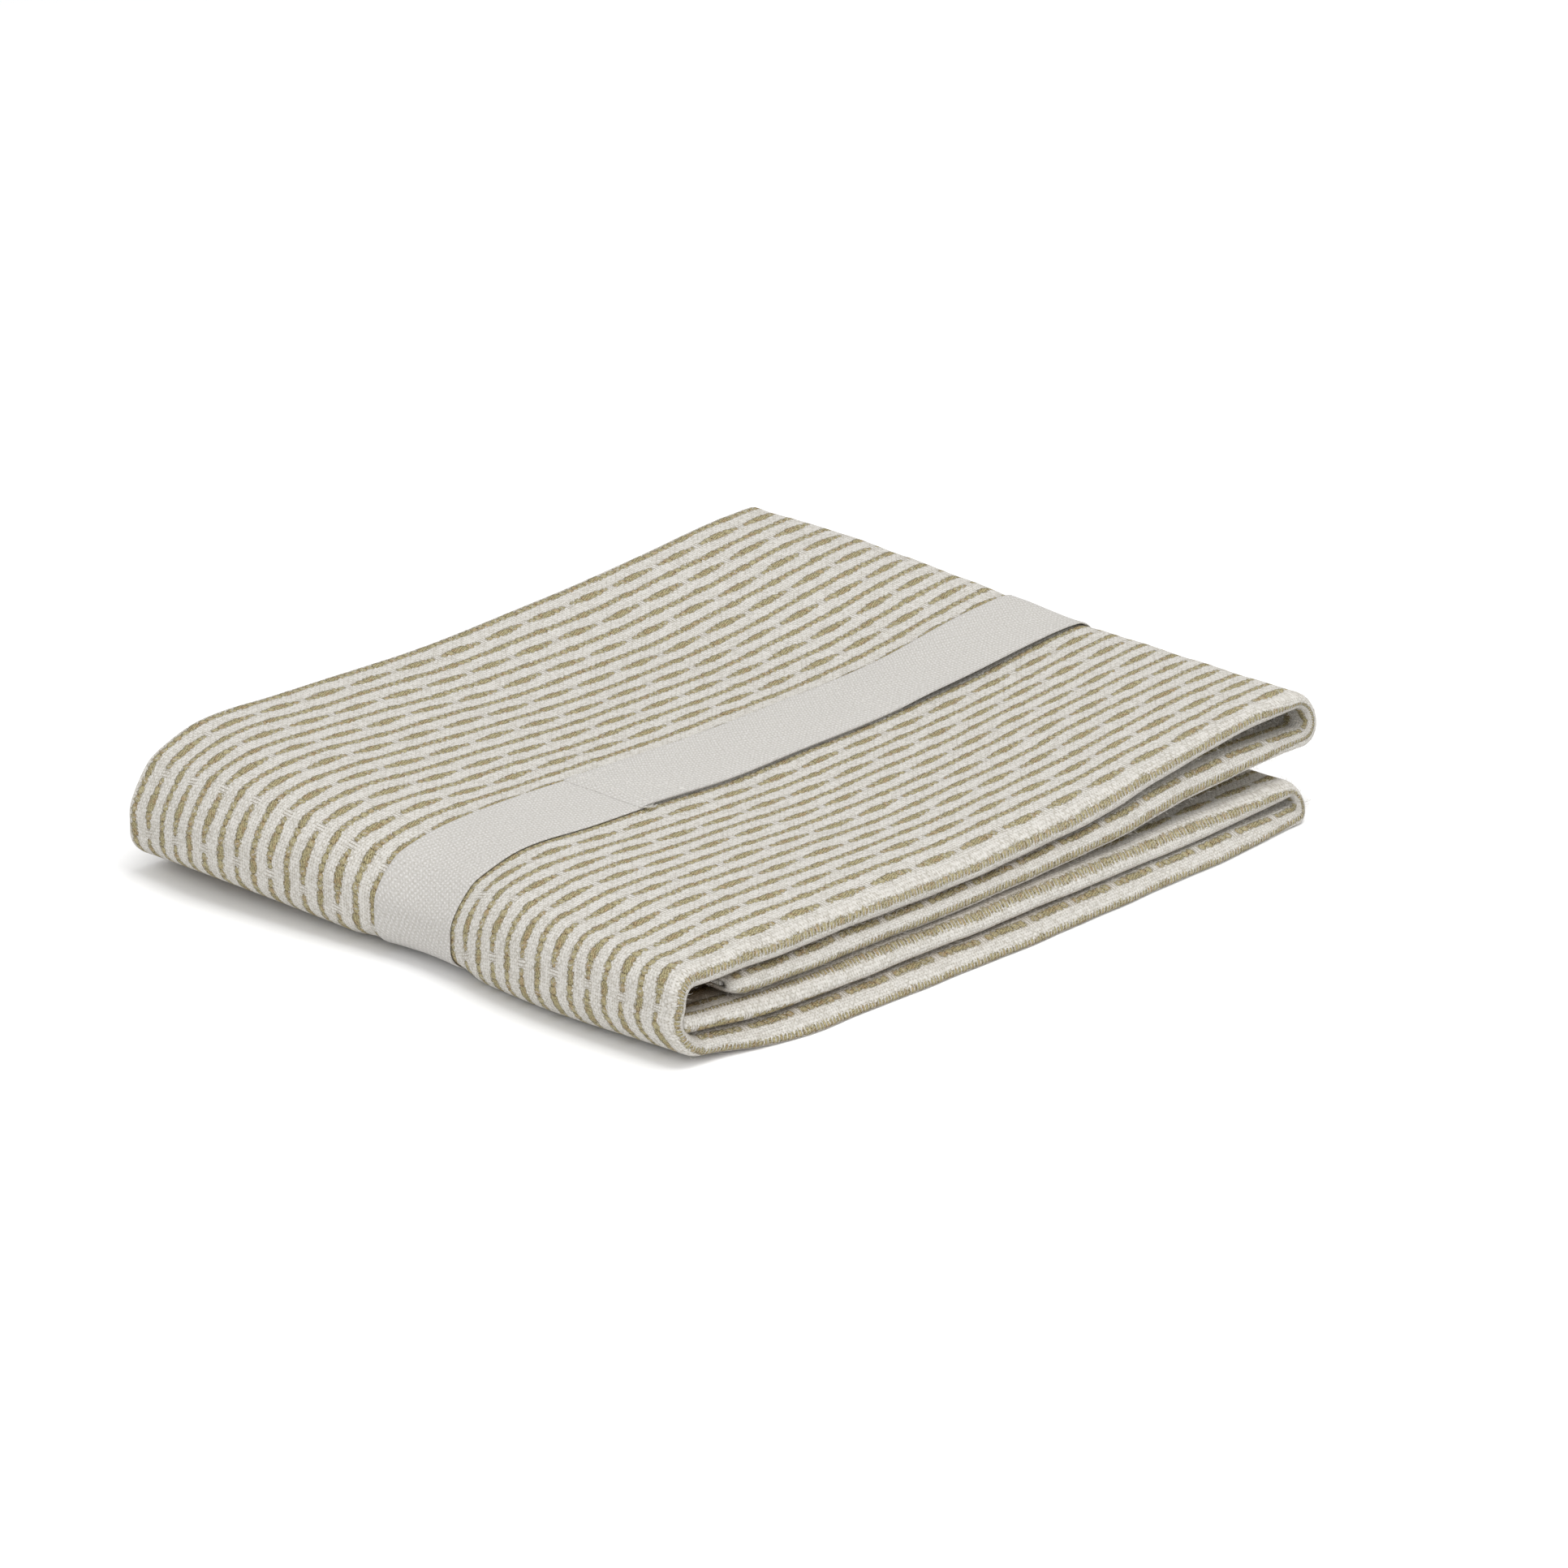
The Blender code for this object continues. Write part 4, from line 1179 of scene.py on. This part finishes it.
@dataclass
class LooseFibres:
    """Short fibres that stand off the cloth's folded front edges, and the frayed corner of the band."""

    towel: bpy.types.Object
    band: WebbingBand
    lint: SoftThread = SoftThread("cotton_lint", "#cfccc6", "#a8a299")
    fray: SoftThread = SoftThread("frayed_cotton", "#dddbd6", "#bbb8b1")
    lint_sizes: dict = field(default_factory=lambda: {
        "Density": 4.2e5, "Length": 1.6 * MM, "Radius": 0.03 * MM, "Spread": 0.8})
    fray_sizes: dict = field(default_factory=lambda: {
        "Density": 2.0e7, "Length": 2.6 * MM, "Radius": 0.1 * MM, "Spread": 0.3})
    # the frayed patch at the corner of the band's end: its ends along x, in millimetres, and its height
    fray_x: tuple = (0.1, 2.2)
    fray_low: float = -0.5 * MM
    fray_rise: tuple = (0.0, 0.05 * MM, 0.25 * MM)

    def tree(self, finish: SoftThread, sizes: dict) -> bpy.types.NodeTree:
        """The tree that grows bent fibres on faces, as thick as the attribute says.

        Args:
            finish: The fibres' finish.
            sizes: Its named inputs.

        Returns:
            The tree, with a fixed seed.
        """
        tree, given = new_tree("fibres_" + finish.name, **sizes)
        node = partial(add_node, tree)
        share = node("GeometryNodeInputNamedAttribute", "lint", data_type="FLOAT")
        density = node("MULTIPLY", share, given.outputs["Density"])
        points = node("GeometryNodeDistributePointsOnFaces", given.outputs["Geometry"],
                      named={"Density": density, "Seed": 7})
        # one bent fibre of length 1, thin as a wire, sunk a little into the face
        arc = node("GeometryNodeCurveQuadraticBezier", 4,
                   (0.0, 0.0, -0.05), (0.05, 0.0, 0.7), (0.75, 0.15, 0.8))
        thin = node("DIVIDE", given.outputs["Radius"], given.outputs["Length"])
        wire = node("GeometryNodeCurvePrimitiveCircle", 3, named={"Radius": thin})
        fibre = node("GeometryNodeCurveToMesh", arc, wire, named={"Fill Caps": True})
        spread = node("FunctionNodeRandomValue", (-1.0, -1.0, -1.0), (1.0, 1.0, 1.0),
                      data_type="FLOAT_VECTOR", named={"Seed": 3})
        spread = node("VectorMath:SCALE", spread, named={"Scale": given.outputs["Spread"]})
        grow = node("FunctionNodeRandomValue", data_type="FLOAT", named={2: 0.35, 3: 1.0, "Seed": 5})
        grow = node("MULTIPLY", grow.outputs[1], given.outputs["Length"])
        made = node("GeometryNodeInstanceOnPoints", points,
                    named={"Instance": fibre, "Rotation": points.outputs["Rotation"], "Scale": grow})
        made = node("GeometryNodeRotateInstances", made, named={"Rotation": spread})
        made = node("GeometryNodeRealizeInstances", made)
        made = node("GeometryNodeSetMaterial", made, named={"Material": finish.build()})
        node("NodeGroupOutput", made)
        return tree

    def build(self) -> list:
        """Grow the fibres.

        Returns:
            The finished pieces.
        """
        sizes = self.lint_sizes
        lint = grown("edge_lint", self.towel.data.copy(), self.tree(self.lint, sizes), **sizes)
        band = self.band
        x, y = band.over_end_x / MM, (band.middle_y - band.width / 2) / MM
        low = band.on_top([(x + reach, y) for reach in self.fray_x])
        low[:, 2] += self.fray_low
        patch = bpy.data.meshes.new("frayed_corner")
        patch.from_pydata(np.vstack((low, low + self.fray_rise)).tolist(), [], [(0, 1, 3, 2)])
        point_shares(patch, "lint", np.ones(4))
        sizes = self.fray_sizes
        fray = grown("frayed_threads", patch, self.tree(self.fray, sizes), **sizes)
        return [lint, fray]


# ---------------------------------------------------------------- floor, lights and camera

@dataclass
class Studio:
    """A pale floor, soft light and a camera at the photograph's angle."""

    floor_color: str = "#fbfbfb"
    focal_mm: float = 167.7
    azimuth_deg: float = -48.3
    elevation_deg: float = 20.3
    distance: float = 1.730
    aim: tuple = (33.38 * MM, 18.73 * MM, 0.0)
    sensor_mm: float = 36.0
    floor_half: float = 6.0
    air_strength: float = 0.74
    # name, place, side of the square and power in watts
    lights: tuple = (
        ("key_light", (0.05, -0.25, 1.35), 0.9, 11.0),
        ("fill_light", (-1.1, -0.7, 0.7), 1.2, 5.5),
        ("front_light", (0.25, -1.4, 0.35), 0.8, 2.0),
    )

    def build(self) -> None:
        """Set up the floor, the lights, the world and the camera."""
        self.floor()
        self.world()
        for light in self.lights:
            self.area(*light)
        self.camera()
        bpy.context.scene.view_settings.view_transform = "Standard"

    def floor(self) -> None:
        """Lay the floor."""
        data = bpy.data.meshes.new("floor")
        corners = [(x * self.floor_half, y * self.floor_half, 0.0)
                   for x, y in ((-1, -1), (1, -1), (1, 1), (-1, 1))]
        data.from_pydata(corners, [], [(0, 1, 2, 3)])
        # matte studio paper, which takes only soft shadows
        material, _, _ = new_material("studio_paper", {
            "Base Color": linear(self.floor_color), "Roughness": 0.95, "Specular IOR Level": 0.1})
        data.materials.append(material)
        linked("floor", data)

    def world(self) -> None:
        """Give soft light from all round."""
        world = bpy.data.worlds.new("studio_air")
        world.use_nodes = True
        air = world.node_tree.nodes["Background"].inputs
        air["Color"].default_value = (1.0, 1.0, 1.0, 1.0)
        air["Strength"].default_value = self.air_strength
        bpy.context.scene.world = world

    def area(self, name: str, place: Sequence[float], size: float, power: float) -> None:
        """Hang one square soft light, turned to the packet.

        Args:
            name: The light's name.
            place: Where it hangs.
            size: The length of its side in metres.
            power: Its power in watts.
        """
        data = bpy.data.lights.new(name, "AREA")
        data.size = size
        data.energy = power
        light = linked(name, data)
        light.location = place
        light.rotation_euler = (-Vector(place)).to_track_quat("-Z", "Y").to_euler()

    def camera(self) -> None:
        """Set the camera where the photograph was taken from."""
        azimuth, elevation = math.radians(self.azimuth_deg), math.radians(self.elevation_deg)
        flat = math.cos(elevation)
        back = Vector((math.sin(azimuth) * flat, -math.cos(azimuth) * flat, math.sin(elevation)))
        data = bpy.data.cameras.new("camera")
        data.lens = self.focal_mm
        data.sensor_width = self.sensor_mm
        data.clip_start, data.clip_end = 0.05, 50.0
        camera = linked("camera", data)
        camera.location = Vector(self.aim) + back * self.distance
        camera.rotation_euler = (-back).to_track_quat("-Z", "Y").to_euler()
        bpy.context.scene.camera = camera


def main() -> None:
    """Build the towel, the band and the studio."""
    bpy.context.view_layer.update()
    shape = PacketShape()
    band = WebbingBand(shape)
    towel = TeaTowel(shape).build()
    pieces = [towel, band.build(), SewnStitches(band).build()] + LooseFibres(towel, band).build()
    for piece in pieces:
        log.info("%s: %d faces", piece.name, len(piece.data.polygons))
    Studio().build()


if __name__ == "__main__":
    logging.basicConfig(level=logging.INFO)
    main()
